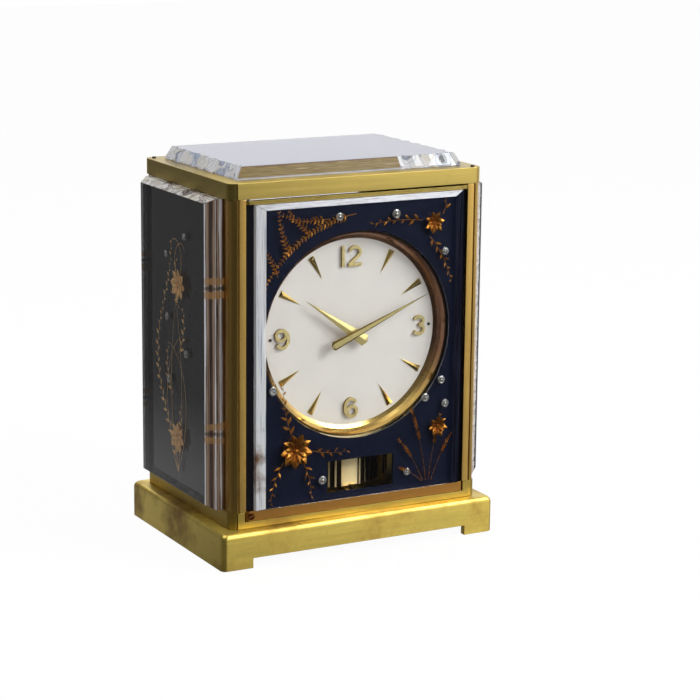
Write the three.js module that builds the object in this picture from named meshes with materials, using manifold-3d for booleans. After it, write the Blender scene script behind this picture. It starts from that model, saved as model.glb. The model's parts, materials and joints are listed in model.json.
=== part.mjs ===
// Atmospheric clock: a brass case with clear acrylic slabs round a movement with a torsion pendulum.
// Millimetres, +Z up. The front faces -Y, and the origin is the middle of the plinth's underside.
import * as THREE from 'three';
import { mergeVertices } from 'three/addons/utils/BufferGeometryUtils.js';
import { ConvexGeometry } from 'three/addons/geometries/ConvexGeometry.js';
import Module from 'manifold-3d';

const wasm = await Module();
wasm.setup();

// Running values for every piece
const seatGap = 0.1;
const slideGap = 0.3;
const cutOverrun = 1;
const weldDistance = 0.0005;

// The dial's window, which the case is built round
const dialWindowRadius = 62.6;
const windowSideBoard = 11.2;
const windowHeadBoard = 19.9;
const windowSpacing = 12.85;

// Plinth
const plinthDepth = 132.3;
const plinthSideOverhang = 8.2;
const plinthFrontOverhang = 6.85;
const plinthBackOverhang = 4.65;
const plinthHeight = 22.25;
const plinthEdge = 3.2;
const plinthInsetShare = 0.8;
const plinthWall = 4;
const plinthRoof = 3.5;
const plinthFootWidth = 20.2;
const plinthCutHeight = 6;

// Feet under the plinth
const footBossRadius = 6;
const footBossLength = 9;
const footStemRadius = 2.6;
const footStemTop = 17.5;
const footPadRadius = 7;
const footPadThickness = 3;
const footPadRise = 1.5;
const footPadEdge = 0.5;
const footSetInX = 30.4;
const footSetInY = 32.15;
const rearFootRadius = 5;
const rearFootSetIn = 22.15;

// Frame of the case: platform, pillars and top plate share one plan
const caseCorner = 5;
const barProud = 0.8;
const platformHeight = 10.1;
const topFrameHeight = 9.6;

// Corner pillars
const stripWidth = 4.4;
const grooveWidth = 0.7;
const grooveDepth = 0.8;
const pillarFlat = 0.3;
const pillarSideDepth = 10.6;
const pillarFrontDepth = 5.5;
const pillarSideWall = 4.5;
const pillarInset = 1.2;

// Top slab
const topSlabSideInset = 9.65;
const topSlabFrontInset = 10.1;
const topSlabBackInset = 9.9;
const topSlabHeight = 7.8;
const topSlabSideBevel = 3.5;
const topSlabFrontBevel = 2.3;
const topSlabLowerRise = 1.1;
const chipDepth = 0.9;
const chipPitch = 15;
const chipStep = 3.2;
const polishedShare = 0.74;
const topSlabChipGrowth = 1.3;

// Side slabs and their dark backings
const sideSlabStandOff = 9.2;
const sideSlabThickness = 11;
const sideSlabBevel = 5.6;
const sideSlabEndInset = 4.7;
const sideSlabHeightInset = 2.9;
const backingThickness = 1;

// Front door
const railDepth = 4.2;
const bottomRailHeight = 6;
const topRailHeight = 2.1;
const railEndGap = 0.7;
const topRailClearance = 1;
const pivotInset = 10.6;
const hingePinRadius = 0.9;
const doorPlateThickness = 1.5;
const doorPlateSetBack = 1.8;
const doorSlabLeftMargin = 5.6;
const doorSlabRightMargin = 3.6;
const doorSlabThickness = 4.4;
const doorSlabLip = 1.3;
const doorSlabSideBevel = 6;
const doorSlabTopBevel = 3.5;
const doorSlabFootBevel = 0.8;
const lowWindowWidth = 45.2;
const lowWindowHeight = 19.4;
const lowWindowRise = 4.3;
const lowWindowOffset = 2.4;

// Dial, bezel, numerals and markers
const dialSetBack = 11.3;
const dialLap = 3.3;
const dialThickness = 1.2;
const dialHoleRadius = 2.4;
const dialPostRadius = 2;
const dialPostSetIn = 10.7;
const bezelClearance = 1.6;
const bezelWidth = 4.3;
const bezelDepth = 6.9;
const bezelRim = 1.2;
const numeralSetIn = 10.5;
const numeralHeight = 12.6;
const numeralStroke = 2;
const numeralThickness = 1.5;
const figureOneShare = 0.49;
const figureTwoShare = 0.14;
const twoWidthShare = 0.67;
const twoBowlShare = 0.6;
const twoBendShare = 0.8;
const twoBowlStart = 168;
const twoBowlEnd = -32;
const threeUpperShare = 0.47;
const threeUpperWidthShare = 0.6;
const threeLowerWidthShare = 0.67;
const threeStart = 155;
const sixWidthShare = 0.76;
const sixBowlShare = 0.57;
const sixBowlWidthShare = 0.8;
const sixStart = 33;
const markerSetIn = 2.1;
const markerLength = 15.4;
const markerWidth = 4.2;
const markerThickness = 1.5;
const markerEdge = 0.3;
const markerEndSlope = 1.4;

// Hands
const minuteHandSetIn = 2.9;
const minuteHandTail = 17.8;
const minuteHandWidth = 5.6;
const hourHandSetIn = 17;
const hourHandTail = 10.6;
const hourHandWidth = 7.4;
const handTailPoint = 1.8;
const handEdge = 0.35;
const handRidge = 1.1;
const minuteFlatShare = 0.6;
const hourFlatShare = 0.06;
const hourHandRise = 4.6;
const minuteHandRise = 6.6;
const minuteAngle = 67.5;
const hourAngle = 304.5;

// Movement plates and columns
const frontPlateSetBack = 17.3;
const plateThickness = 2;
const plateSpacing = 24;
const plateSideSetIn = 10.6;
const plateTopSetIn = 6.1;
const plateBottomSetIn = 15.1;
const plateCorner = 9;
const lugOverhang = 3.4;
const lugBottomSetIn = 2.1;
const lugHeight = 11;
const lugInnerSetIn = 18.6;
const postRadius = 3;
const postInsetX = 8;
const postInsetZ = 10;
const columnSetIn = 4.6;
const columnFootRadius = 7;
const columnFootHeight = 2.5;
const columnRadius = 4;
const columnWaistRadius = 3.2;
const columnHeadHeight = 8;
const columnHeadWidth = 12;

// Wheels
const toothModule = 0.5;
const addendumShare = 0.7;
const dedendumShare = 1;
const toothTipShare = 0.26;
const toothRootShare = 0.54;
const wheelThickness = 1;
const pinionThickness = 2.7;
const arborRadius = 0.9;
const pivotRadius = 0.6;
const pivotGap = 0.3;
const cannonTeeth = 10;
const minuteTeeth = 30;
const minutePinionTeeth = 8;
const hourTeeth = 32;
const barrelTeeth = 60;
const centrePinionTeeth = 10;
const centreTeeth = 48;
const thirdPinionTeeth = 16;
const thirdTeeth = 32;
const escapePinionTeeth = 24;
const escapeTeeth = 15;
const escapeRadius = 7.5;
const escapeToothDepth = 1.9;
const cannonPipeRadius = 1.2;
const hourPipeRadius = 2;
const barrelDrumRadius = 12.6;
const barrelDrumLength = 10;
const minuteWheelAngle = 35;
const thirdWheelAngle = 233;
const escapeWheelAngle = -46.5;
const anchorDrop = 10;
const anchorArm = 5.6;
const anchorWidth = 2;
const palletLength = 3.4;
const barrelSetIn = 2;
const thirdWheelSetIn = 8;
const centreWheelSetIn = 8;
const escapeWheelSetIn = 4.5;
const hourWheelLead = 2.2;
const escapeTipShares = [0.9, 0.98];
const escapeHeelShare = 0.45;

// Bellows housing behind the movement
const bellowsSetIn = 14.6;
const bellowsLead = 9;
const bellowsRearSpace = 12.5;
const bellowsRimWidth = 7;
const bellowsStep = 3;
const bellowsBossRadius = 12;
const bellowsPostSetIn = 9.05;
const bellowsPostAngle = 29.2;

// Suspension and pendulum
const pendulumAxisY = 1;
const pendulumRunSpace = 13.4;
const pendulumRibDepth = 0.8;
const pendulumRibGroups = 9;
const pendulumRibsInGroup = 4;
const pendulumRibPitch = 5;
const pendulumRibWidth = 2.6;
const pendulumCrestShare = 0.6;
const pendulumLap = 1.05;
const pendulumHeadLap = 0.55;
const pendulumRecess = 2;
const pendulumRim = 9;
const pendulumHubRadius = 5;
const pendulumHubHeight = 5;
const wireRadius = 0.4;
const tubeRadius = 2.6;
const tubeBore = 1.6;
const tubeSpace = 13;
const bracketWidth = 12;
const bracketHeight = 6;
const bracketFlange = 16;
const bracketFlangeThickness = 2;

// Lock lever and spirit level
const lockPivotSetIn = 29.3;
const lockLength = 21;
const lockWidth = 4;
const lockThickness = 1.8;
const lockKnobRadius = 1.8;
const lockKnobHeight = 4.5;
const lockStudRadius = 1.2;
const levelRadius = 4.4;
const levelHeight = 4;
const levelPlaceX = 32;
const levelSetIn = 8.8;

// Rear cover
const rearFrameThickness = 3;
const rearFrameSetIn = 1;
const rearFrameBar = 9;
const rearGlassThickness = 2;
const latchShaftRadius = 1.6;
const latchKnobRadius = 3.9;
const latchKnobLength = 4;
const latchKnobEdge = 0.6;
const latchTongueLength = 7;
const latchTongueWidth = 3;
const latchTongueThickness = 1.1;

// Plan of the case, from the dial's window outwards
const doorHalf = dialWindowRadius + windowSideBoard;
const barHalf = doorHalf + stripWidth + grooveWidth + pillarFlat;
const caseHalf = barHalf + caseCorner;
const caseFront = plinthDepth / 2 - plinthFrontOverhang;
const caseBack = plinthDepth / 2 - plinthBackOverhang;
const plinthWidth = (caseHalf + plinthSideOverhang) * 2;
const topSlabWidth = (caseHalf - topSlabSideInset) * 2;
const footPlaceX = plinthWidth / 2 - footSetInX;
const footPlaceY = footSetInY - plinthDepth / 2;
const rearFootPlaceY = plinthDepth / 2 - rearFootSetIn;

// Heights of the case, from the plinth upwards
const platformBottom = plinthHeight + seatGap;
const platformTop = platformBottom + platformHeight - seatGap;
const pillarBottom = platformTop + seatGap;
const bottomRailTop = platformTop + seatGap * 3;
const bottomRailBottom = bottomRailTop - bottomRailHeight;
const doorBottom = bottomRailTop + seatGap;
const lowWindowBottom = doorBottom + lowWindowRise;
const lowWindowTop = lowWindowBottom + lowWindowHeight;
const dialCentreHeight = lowWindowTop + windowSpacing + dialWindowRadius;
const doorTop = dialCentreHeight + dialWindowRadius + windowHeadBoard;
const topRailBottom = doorTop + seatGap;
const topRailTop = topRailBottom + topRailHeight;
const topFrameBottom = topRailTop + topRailClearance;
const topFrameTop = topFrameBottom + topFrameHeight;

// Faces and levels that several pieces share
const doorPlateBack = -(caseFront - doorPlateSetBack - doorPlateThickness);
const doorPlateFront = doorPlateBack - doorPlateThickness;
const dialFace = -(caseFront - dialSetBack);
const dialBack = dialFace + dialThickness;
const frontPlateFace = -(caseFront - frontPlateSetBack);
const frontPlateBack = frontPlateFace + plateThickness;
const rearPlateFace = frontPlateBack + plateSpacing;
const rearPlateBack = rearPlateFace + plateThickness;
const bezelFrontRadius = dialWindowRadius - bezelClearance;
const bezelInnerRadius = bezelFrontRadius - bezelWidth;
const dialRadius = bezelInnerRadius + dialLap;
const plateTop = dialCentreHeight + dialWindowRadius - plateTopSetIn;
const plateBottom = dialCentreHeight - dialWindowRadius + plateBottomSetIn;
const plateHalfWidth = dialWindowRadius - plateSideSetIn;
const lugBottom = dialCentreHeight - dialWindowRadius + lugBottomSetIn;
const columnPlaceX = dialWindowRadius - columnSetIn;
const columnY = (frontPlateBack + rearPlateFace) / 2;
const bellowsRadius = dialWindowRadius - bellowsSetIn;
const bellowsFront = pendulumAxisY + bellowsLead;
const bellowsRear = caseBack - bellowsRearSpace;
const pendulumRadius = (caseFront + caseBack) / 2 - pendulumRunSpace;
const pendulumBottom = lowWindowBottom - pendulumLap;
const pendulumHeight = lowWindowTop + pendulumHeadLap - pendulumBottom;
const pendulumTop = pendulumBottom + pendulumHeight + pendulumHubHeight;
const lockPivotY = lockPivotSetIn - caseFront;
const pivotX = -(caseHalf - pivotInset - railDepth / 2);
const pivotY = -(caseFront - railDepth / 2);
const fullTurn = Math.PI * 2;
const quarterTurn = Math.PI / 2;
const halfTurn = 180;
const degree = Math.PI / halfTurn;

// Surface finishes
const brass = { color: 0xb89a4a, metalness: 1, roughness: 0.35 };
const paleBrass = { color: 0xd2b878, metalness: 1, roughness: 0.25 };
const redBrass = { color: 0xb98a62, metalness: 1, roughness: 0.4 };
const steel = { color: 0xb8bcc0, metalness: 1, roughness: 0.3 };
const acrylic = { color: 0xdfe4ea, metalness: 0, roughness: 0.05, transparent: true, opacity: 0.35 };
const nightBlue = { color: 0x151b30, metalness: 0, roughness: 0.3 };
const blackLacquer = { color: 0x232530, metalness: 0, roughness: 0.3 };
const ivory = { color: 0xd8d4c8, metalness: 0, roughness: 0.5 };

const clock = new THREE.Group();

// Adds one piece to the clock
function add(name, geometry, finish, x = 0, y = 0, z = 0) {
  const mesh = new THREE.Mesh(geometry, new THREE.MeshStandardMaterial(finish));
  mesh.name = name;
  mesh.position.set(x, y, z);
  clock.add(mesh);
  return mesh;
}

// Turns a closed mesh into a solid that can be joined and cut
function solidOf(geometry) {
  const plain = geometry.clone();
  plain.deleteAttribute('normal');
  plain.deleteAttribute('uv');
  const welded = mergeVertices(plain, weldDistance);
  const vertProperties = Float32Array.from(welded.attributes.position.array);
  const triVerts = Uint32Array.from(welded.index.array);
  return new wasm.Manifold(new wasm.Mesh({ numProp: 3, vertProperties, triVerts }));
}

// Turns a solid back into a mesh
function geometryOf(solid) {
  const mesh = solid.getMesh();
  const geometry = new THREE.BufferGeometry();
  geometry.setAttribute('position', new THREE.BufferAttribute(mesh.vertProperties, 3));
  geometry.setIndex(new THREE.BufferAttribute(mesh.triVerts, 1));
  geometry.computeVertexNormals();
  return geometry;
}

// Joins the first list of shapes and cuts the second list from it
function combine(joined, cut = []) {
  let solid = solidOf(joined[0]);
  for (const piece of joined.slice(1)) {
    solid = solid.add(solidOf(piece));
  }
  for (const piece of cut) {
    solid = solid.subtract(solidOf(piece));
  }
  return geometryOf(solid);
}

// A box given by its two opposite corners
function boxBetween(x0, y0, z0, x1, y1, z1) {
  const box = new THREE.BoxGeometry(x1 - x0, y1 - y0, z1 - z0);
  return box.translate((x0 + x1) / 2, (y0 + y1) / 2, (z0 + z1) / 2);
}

// A flat outline in the XY plane raised along Z from z0 to z1
function raised(shape, z0, z1, curveSegments = 6) {
  const options = { depth: z1 - z0, bevelEnabled: false, curveSegments };
  return new THREE.ExtrudeGeometry(shape, options).translate(0, 0, z0);
}

// A flat outline in the XZ plane given thickness from y0, its front, to y1, its back
function plate(shape, y0, y1, curveSegments = 6) {
  const options = { depth: y1 - y0, bevelEnabled: false, curveSegments };
  return new THREE.ExtrudeGeometry(shape, options).rotateX(Math.PI / 2).translate(0, y1, 0);
}

// A round bar along Y
function barY(radius, y0, y1, x = 0, z = 0, sides = 16) {
  const bar = new THREE.CylinderGeometry(radius, radius, y1 - y0, sides);
  return bar.translate(x, (y0 + y1) / 2, z);
}

// A round bar along Z
function barZ(radius, z0, z1, x = 0, y = 0, sides = 16) {
  const bar = new THREE.CylinderGeometry(radius, radius, z1 - z0, sides).rotateX(Math.PI / 2);
  return bar.translate(x, y, (z0 + z1) / 2);
}

// A turned form round the Y axis, from pairs of radius and Y
function turnedY(profile, sides = 48) {
  return new THREE.LatheGeometry(profile.map(([r, y]) => new THREE.Vector2(r, y)), sides);
}

// A turned form round the Z axis, from pairs of radius and Z
function turnedZ(profile, sides = 24) {
  return turnedY(profile, sides).rotateX(Math.PI / 2);
}

// A skin through rings that have as many points each, closed at both ends from the ring's middle
function loft(rings) {
  const count = rings[0].length;
  const position = [];
  const index = [];
  for (const ring of rings) {
    for (const point of ring) {
      position.push(point.x, point.y, point.z);
    }
  }
  for (let row = 0; row < rings.length - 1; row += 1) {
    for (let i = 0; i < count; i += 1) {
      const a = row * count + i;
      const b = row * count + ((i + 1) % count);
      index.push(a, b, b + count, a, b + count, a + count);
    }
  }
  for (const end of [0, rings.length - 1]) {
    const middle = new THREE.Vector3();
    for (const point of rings[end]) {
      middle.addScaledVector(point, 1 / count);
    }
    const hub = position.length / 3;
    position.push(middle.x, middle.y, middle.z);
    for (let i = 0; i < count; i += 1) {
      const a = end * count + i;
      const b = end * count + ((i + 1) % count);
      index.push(...(end === 0 ? [hub, b, a] : [hub, a, b]));
    }
  }
  const geometry = new THREE.BufferGeometry();
  geometry.setAttribute('position', new THREE.Float32BufferAttribute(position, 3));
  geometry.setIndex(index);
  geometry.computeVertexNormals();
  return geometry;
}

// Points round a rectangle with round corners, as pairs, from the lower left corner on
function roundedRing(x0, y0, x1, y1, radius, steps = 3) {
  const corners = [[x0 + radius, y0 + radius], [x1 - radius, y0 + radius], [x1 - radius, y1 - radius],
    [x0 + radius, y1 - radius]];
  const points = [];
  corners.forEach(([cx, cy], corner) => {
    for (let i = 0; i <= steps; i += 1) {
      const angle = (2 + corner + i / steps) * quarterTurn;
      points.push([cx + radius * Math.cos(angle), cy + radius * Math.sin(angle)]);
    }
  });
  return points;
}

// Outline of a rectangle with round corners
function roundedShape(x0, y0, x1, y1, radius, steps = 3) {
  return new THREE.Shape(roundedRing(x0, y0, x1, y1, radius, steps).map(([x, y]) => new THREE.Vector2(x, y)));
}

// Plinth: a hollow base with rounded upper edges, cut away in front between two feet
function plinthGeometry() {
  const halfX = plinthWidth / 2;
  const halfY = plinthDepth / 2;
  const level = (inset, z) => roundedRing(inset - halfX, inset - halfY, halfX - inset, halfY - inset,
    plinthEdge).map(([x, y]) => new THREE.Vector3(x, y, z));
  const rings = [level(0, 0)];
  for (let i = 0; i <= 3; i += 1) {
    const turn = (Math.PI / 2) * (i / 3);
    const inset = plinthEdge * (1 - Math.cos(turn)) * plinthInsetShare;
    rings.push(level(inset, plinthHeight - plinthEdge * (1 - Math.sin(turn))));
  }
  const insideX = halfX - plinthWall;
  const insideY = halfY - plinthWall;
  const roof = plinthHeight - plinthRoof;
  const hollow = boxBetween(-insideX, -insideY, -cutOverrun, insideX, insideY, roof);
  const cutHalf = halfX - plinthFootWidth;
  const frontCut = boxBetween(-cutHalf, -halfY - cutOverrun, -cutOverrun, cutHalf, -insideY + cutOverrun,
    plinthCutHeight);
  let shell = solidOf(loft(rings)).subtract(solidOf(hollow)).subtract(solidOf(frontCut));
  for (const side of [-1, 1]) {
    const x = side * footPlaceX;
    shell = shell.add(solidOf(barZ(footBossRadius, roof - footBossLength, roof + cutOverrun, x, footPlaceY)));
    const boreTop = footStemTop + slideGap;
    const bore = barZ(footStemRadius + slideGap, roof - footBossLength - cutOverrun, boreTop, x, footPlaceY);
    shell = shell.subtract(solidOf(bore));
  }
  return geometryOf(shell);
}

// Plan of the platform and the top frame, whose front bar stands proud of the round corners
function casePlan() {
  const shape = new THREE.Shape();
  const front = -caseFront;
  const quarter = Math.PI / 2;
  const cornerY = front + caseCorner;
  const backY = caseBack - caseCorner;
  shape.moveTo(-barHalf, front);
  shape.lineTo(barHalf, front);
  shape.lineTo(barHalf, front + barProud);
  shape.absellipse(barHalf, cornerY, caseCorner, caseCorner - barProud, -quarter, 0, false);
  shape.lineTo(caseHalf, backY);
  shape.absellipse(barHalf, backY, caseCorner, caseCorner, 0, quarter, false);
  shape.lineTo(-barHalf, caseBack);
  shape.absellipse(-barHalf, backY, caseCorner, caseCorner, quarter, Math.PI, false);
  shape.lineTo(-caseHalf, cornerY);
  shape.absellipse(-barHalf, cornerY, caseCorner, caseCorner - barProud, Math.PI, Math.PI + quarter, false);
  return shape;
}

// Platform with the lock lever's stud and the notch that the door's bottom rail closes into
function platformGeometry() {
  const slab = raised(casePlan(), platformBottom, platformTop);
  const notch = boxBetween(-doorHalf - railEndGap, -caseFront - cutOverrun, bottomRailBottom - slideGap,
    doorHalf + railEndGap, -caseFront + railDepth + railEndGap, platformTop + cutOverrun);
  const studTop = pillarBottom + slideGap + lockThickness;
  const lockStud = barZ(lockStudRadius, platformBottom + cutOverrun, studTop, 0, lockPivotY);
  return combine([slab, lockStud], [notch]);
}

// Section of a corner pillar; the signs say which corner of the case it stands at
function pillarShape(sideX, sideY) {
  const face = sideY < 0 ? caseFront : caseBack;
  const at = (x, inward) => new THREE.Vector2(sideX * x, sideY * (face - inward));
  const cornerWidth = caseCorner - pillarInset;
  const points = [at(barHalf + cornerWidth, pillarSideDepth)];
  const steps = 6;
  for (let i = 0; i <= steps; i += 1) {
    const turn = (Math.PI / 2) * (i / steps);
    points.push(at(barHalf + cornerWidth * Math.cos(turn), caseCorner * (1 - Math.sin(turn))));
  }
  const grooveOuter = barHalf - pillarFlat;
  const grooveInner = grooveOuter - grooveWidth;
  points.push(at(grooveOuter, 0), at(grooveOuter, grooveDepth));
  points.push(at(grooveInner, grooveDepth), at(grooveInner, 0));
  points.push(at(doorHalf, 0), at(doorHalf, pillarFrontDepth));
  const inner = caseHalf - pillarSideWall;
  points.push(at(inner, pillarFrontDepth), at(inner, pillarSideDepth));
  return new THREE.Shape(points);
}

// Depth of the hewn chips at a place along a rough edge
function chipAt(place) {
  const first = Math.abs(Math.sin((place / chipPitch) * Math.PI));
  const second = Math.sin((place / (chipPitch - chipStep)) * Math.PI);
  return chipDepth * (first + second * second - 1);
}

// Points along a straight edge, its first end included, each moved inward by the chips where it is rough
function hewnEdge(start, end, inward, steps, rough, growth = 1) {
  const points = [];
  for (let i = 0; i < steps; i += 1) {
    const point = start.clone().lerp(end, i / steps);
    if (i > 0 && rough(i / steps)) {
      point.addScaledVector(inward, chipAt(i * chipStep) * growth);
    }
    points.push(point);
  }
  return points;
}

// Number of chips along an edge
function chipsAlong(length) {
  return Math.max(2, Math.round(length / chipStep));
}

// One ring of the top slab, inset from the lower outline, rough along the sides and the right of the front
function topSlabRing(share, z, chipped) {
  const halfX = topSlabWidth / 2 - topSlabSideBevel * share;
  const lowerFront = -caseFront + topSlabFrontInset;
  const lowerBack = caseBack - topSlabBackInset;
  const front = lowerFront + topSlabFrontBevel * share;
  const back = lowerBack - topSlabFrontBevel * share;
  const corner = [[-halfX, front], [halfX, front], [halfX, back], [-halfX, back]];
  const [a, b, c, d] = corner.map(([x, y]) => new THREE.Vector3(x, y, z));
  const wide = chipsAlong(topSlabWidth);
  const deep = chipsAlong(lowerBack - lowerFront);
  const always = () => chipped;
  const right = (along) => chipped && along > polishedShare;
  const growth = 1 + topSlabChipGrowth * share;
  return [
    ...hewnEdge(a, b, new THREE.Vector3(0, 1, 0), wide, right, growth),
    ...hewnEdge(b, c, new THREE.Vector3(-1, 0, 0), deep, always, growth),
    c,
    ...hewnEdge(d, a, new THREE.Vector3(1, 0, 0), deep, always, growth),
  ];
}

// Top slab: polished bevels in front, hewn edges at the sides
function topSlabGeometry() {
  const bottom = topFrameTop + seatGap;
  const top = topFrameTop + topSlabHeight;
  const lower = bottom + topSlabLowerRise;
  const middle = (lower + top) / 2;
  return loft([topSlabRing(0, bottom, false), topSlabRing(0, lower, true), topSlabRing(1 / 2, middle, true),
    topSlabRing(1, top, true)]);
}

// Side slab: full height at its back, bevelled to a smaller outer face, hewn above and below
function sideSlabGeometry(side) {
  const inner = caseHalf + sideSlabStandOff - sideSlabThickness;
  const outer = caseHalf + sideSlabStandOff;
  const ring = (share, x, chipped) => {
    const y0 = -caseFront + pillarSideDepth + seatGap + sideSlabEndInset * share;
    const y1 = caseBack - pillarSideDepth - seatGap - sideSlabEndInset * share;
    const z0 = pillarBottom + seatGap + sideSlabHeightInset * share;
    const z1 = topFrameBottom - seatGap * 2 - sideSlabHeightInset * share;
    const corner = [[y0, z0], [y1, z0], [y1, z1], [y0, z1]];
    const [a, b, c, d] = corner.map(([y, z]) => new THREE.Vector3(side * x, y, z));
    const rough = () => chipped;
    const steps = chipsAlong(caseBack + caseFront - pillarSideDepth * 2);
    const plain = [...hewnEdge(a, b, new THREE.Vector3(0, 0, 1), steps, rough), b,
      ...hewnEdge(c, d, new THREE.Vector3(0, 0, -1), steps, rough), d];
    return side > 0 ? plain : plain.reverse();
  };
  return loft([ring(0, inner, false), ring(0, outer - sideSlabBevel, false),
    ring(1 / 2, outer - sideSlabBevel / 2, true), ring(1, outer, false)]);
}

// Dark board between the pillars, behind a side slab
function backingGeometry(side) {
  const outer = caseHalf + sideSlabStandOff - sideSlabThickness - seatGap * 2;
  const y0 = -caseFront + pillarSideDepth + seatGap;
  const y1 = caseBack - pillarSideDepth - seatGap;
  const faces = [side * outer, side * (outer - backingThickness)].sort((a, b) => a - b);
  return boxBetween(faces[0], y0, pillarBottom, faces[1], y1, topFrameBottom - seatGap);
}

// Plan of a door rail: its left end is round about the pivot
function railShape() {
  const shape = new THREE.Shape();
  const half = railDepth / 2;
  const right = doorHalf - slideGap;
  shape.moveTo(pivotX, pivotY - half);
  shape.lineTo(right, pivotY - half);
  shape.lineTo(right, pivotY + half);
  shape.lineTo(pivotX, pivotY + half);
  shape.absarc(pivotX, pivotY, half, Math.PI / 2, Math.PI * 1.5, false);
  return shape;
}

// A door rail with the hole that its hinge pin turns in
function railGeometry(z0, z1) {
  const hole = barZ(hingePinRadius + slideGap, z0 - cutOverrun, z1 + cutOverrun, pivotX, pivotY);
  return combine([raised(railShape(), z0, z1)], [hole]);
}

// Painted door plate with the round window and the low one
function doorPlateGeometry() {
  const half = doorHalf - slideGap;
  const shape = roundedShape(-half, doorBottom, half, doorTop, seatGap, 1);
  const round = new THREE.Path();
  round.absarc(0, dialCentreHeight, dialWindowRadius, 0, fullTurn, true);
  const low = new THREE.Path();
  const lowLeft = lowWindowOffset - lowWindowWidth / 2;
  const lowRight = lowWindowOffset + lowWindowWidth / 2;
  low.moveTo(lowLeft, lowWindowBottom);
  low.lineTo(lowLeft, lowWindowTop);
  low.lineTo(lowRight, lowWindowTop);
  low.lineTo(lowRight, lowWindowBottom);
  shape.holes.push(round, low);
  return plate(shape, doorPlateFront, doorPlateBack, 32);
}

// Clear door slab with bevelled edges
function doorSlabGeometry() {
  const ring = (share, y) => {
    const x0 = doorSlabLeftMargin - doorHalf + doorSlabSideBevel * share;
    const x1 = doorHalf - doorSlabRightMargin - doorSlabSideBevel * share;
    const z0 = doorBottom + doorSlabFootBevel * share;
    const z1 = doorTop - doorSlabTopBevel * share;
    return [[x0, z0], [x1, z0], [x1, z1], [x0, z1]].map(([px, pz]) => new THREE.Vector3(px, y, pz));
  };
  const back = doorPlateFront - seatGap;
  const front = back - doorSlabThickness;
  return loft([ring(0, back), ring(0, front + doorSlabLip), ring(1, front)]);
}

// Bezel: a polished cone that leads from the window down to the dial
function bezelGeometry() {
  const rear = dialFace - seatGap;
  const front = rear - bezelDepth;
  const rimRadius = bezelFrontRadius + bezelRim;
  const footRadius = bezelInnerRadius + bezelRim;
  const profile = [[bezelInnerRadius, rear], [bezelFrontRadius, front], [rimRadius, front],
    [rimRadius, front + bezelRim], [footRadius, rear], [bezelInnerRadius, rear]];
  return turnedY(profile, 48);
}

// Dial with its centre hole and the posts that hold it off the front plate
function dialGeometry() {
  const place = bezelInnerRadius - dialPostSetIn;
  const posts = [-1, 1].map((side) => barY(dialPostRadius, dialFace + dialThickness / 2,
    frontPlateFace - seatGap, side * place, 0, 12));
  const disc = barY(dialRadius, dialFace, dialBack, 0, 0, 48);
  return combine([disc, ...posts], [barY(dialHoleRadius, dialFace - cutOverrun, dialBack + cutOverrun)]);
}

// A band of even width along a path of points, as an outline
function strokeShape(path, width) {
  const left = [];
  const right = [];
  path.forEach((point, i) => {
    const before = path[Math.max(0, i - 1)];
    const after = path[Math.min(path.length - 1, i + 1)];
    const along = new THREE.Vector2().subVectors(after, before).normalize();
    const across = new THREE.Vector2(-along.y, along.x).multiplyScalar(width / 2);
    left.push(point.clone().add(across));
    right.unshift(point.clone().sub(across));
  });
  return new THREE.Shape([...left, ...right]);
}

// Points on an arc round (cx, cy), angles in degrees from the +X side
function arcPoints(cx, cy, radiusX, radiusY, from, to, steps) {
  const points = [];
  for (let i = 0; i <= steps; i += 1) {
    const angle = (from + ((to - from) * i) / steps) * degree;
    points.push(new THREE.Vector2(cx + radiusX * Math.cos(angle), cy + radiusY * Math.sin(angle)));
  }
  return points;
}

// A numeral: bands joined into one body, its middle at the origin
function numeralGeometry(paths) {
  return combine(paths.map((path) => plate(strokeShape(path, numeralStroke), -numeralThickness, 0)));
}

// Path of the figure 1, moved sideways by dx
function figureOne(dx) {
  const half = numeralHeight / 2;
  return [[new THREE.Vector2(dx, -half), new THREE.Vector2(dx, half)]];
}

// Paths of the figure 2, moved sideways by dx: a bowl, a curved slope and a foot
function figureTwo(dx) {
  const half = (numeralHeight - numeralStroke) / 2;
  const wide = half * twoWidthShare;
  const bowl = half * twoBowlShare;
  const arc = arcPoints(dx, half - bowl, wide, bowl, twoBowlStart, twoBowlEnd, 10);
  const foot = new THREE.Vector2(dx - wide, -half);
  const bend = new THREE.Vector2(dx - wide * twoBendShare, -half * twoBendShare);
  const slope = new THREE.QuadraticBezierCurve(arc.at(-1), bend, foot).getPoints(4).slice(1);
  const reach = wide + numeralStroke / 2;
  return [[...arc, ...slope], [new THREE.Vector2(dx - reach, -half), new THREE.Vector2(dx + reach, -half)]];
}

// Paths of the figure 3: two open bowls that meet at the middle
function figureThree() {
  const half = (numeralHeight - numeralStroke) / 2;
  const upper = half * threeUpperShare;
  const lower = half - upper;
  return [arcPoints(0, half - upper, half * threeUpperWidthShare, upper, threeStart, -90, 9),
    arcPoints(0, lower - half, half * threeLowerWidthShare, lower, 90, -threeStart, 9)];
}

// Paths of the figure 6, and of a 9 where turned is -1: a long outer sweep and a closed bowl
function figureSix(turned) {
  const half = (numeralHeight - numeralStroke) / 2;
  const wide = half * sixWidthShare;
  const sweep = arcPoints(0, 0, wide, half, sixStart, 270, 14);
  const bowl = half * sixBowlShare;
  const bowlWide = wide * sixBowlWidthShare;
  const ring = arcPoints(wide - bowlWide, bowl - half, bowlWide, bowl, 0, 360, 18);
  const paths = [sweep, ring.slice(0, 11), ring.slice(9)];
  return paths.map((path) => path.map((point) => point.clone().multiplyScalar(turned)));
}

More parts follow.
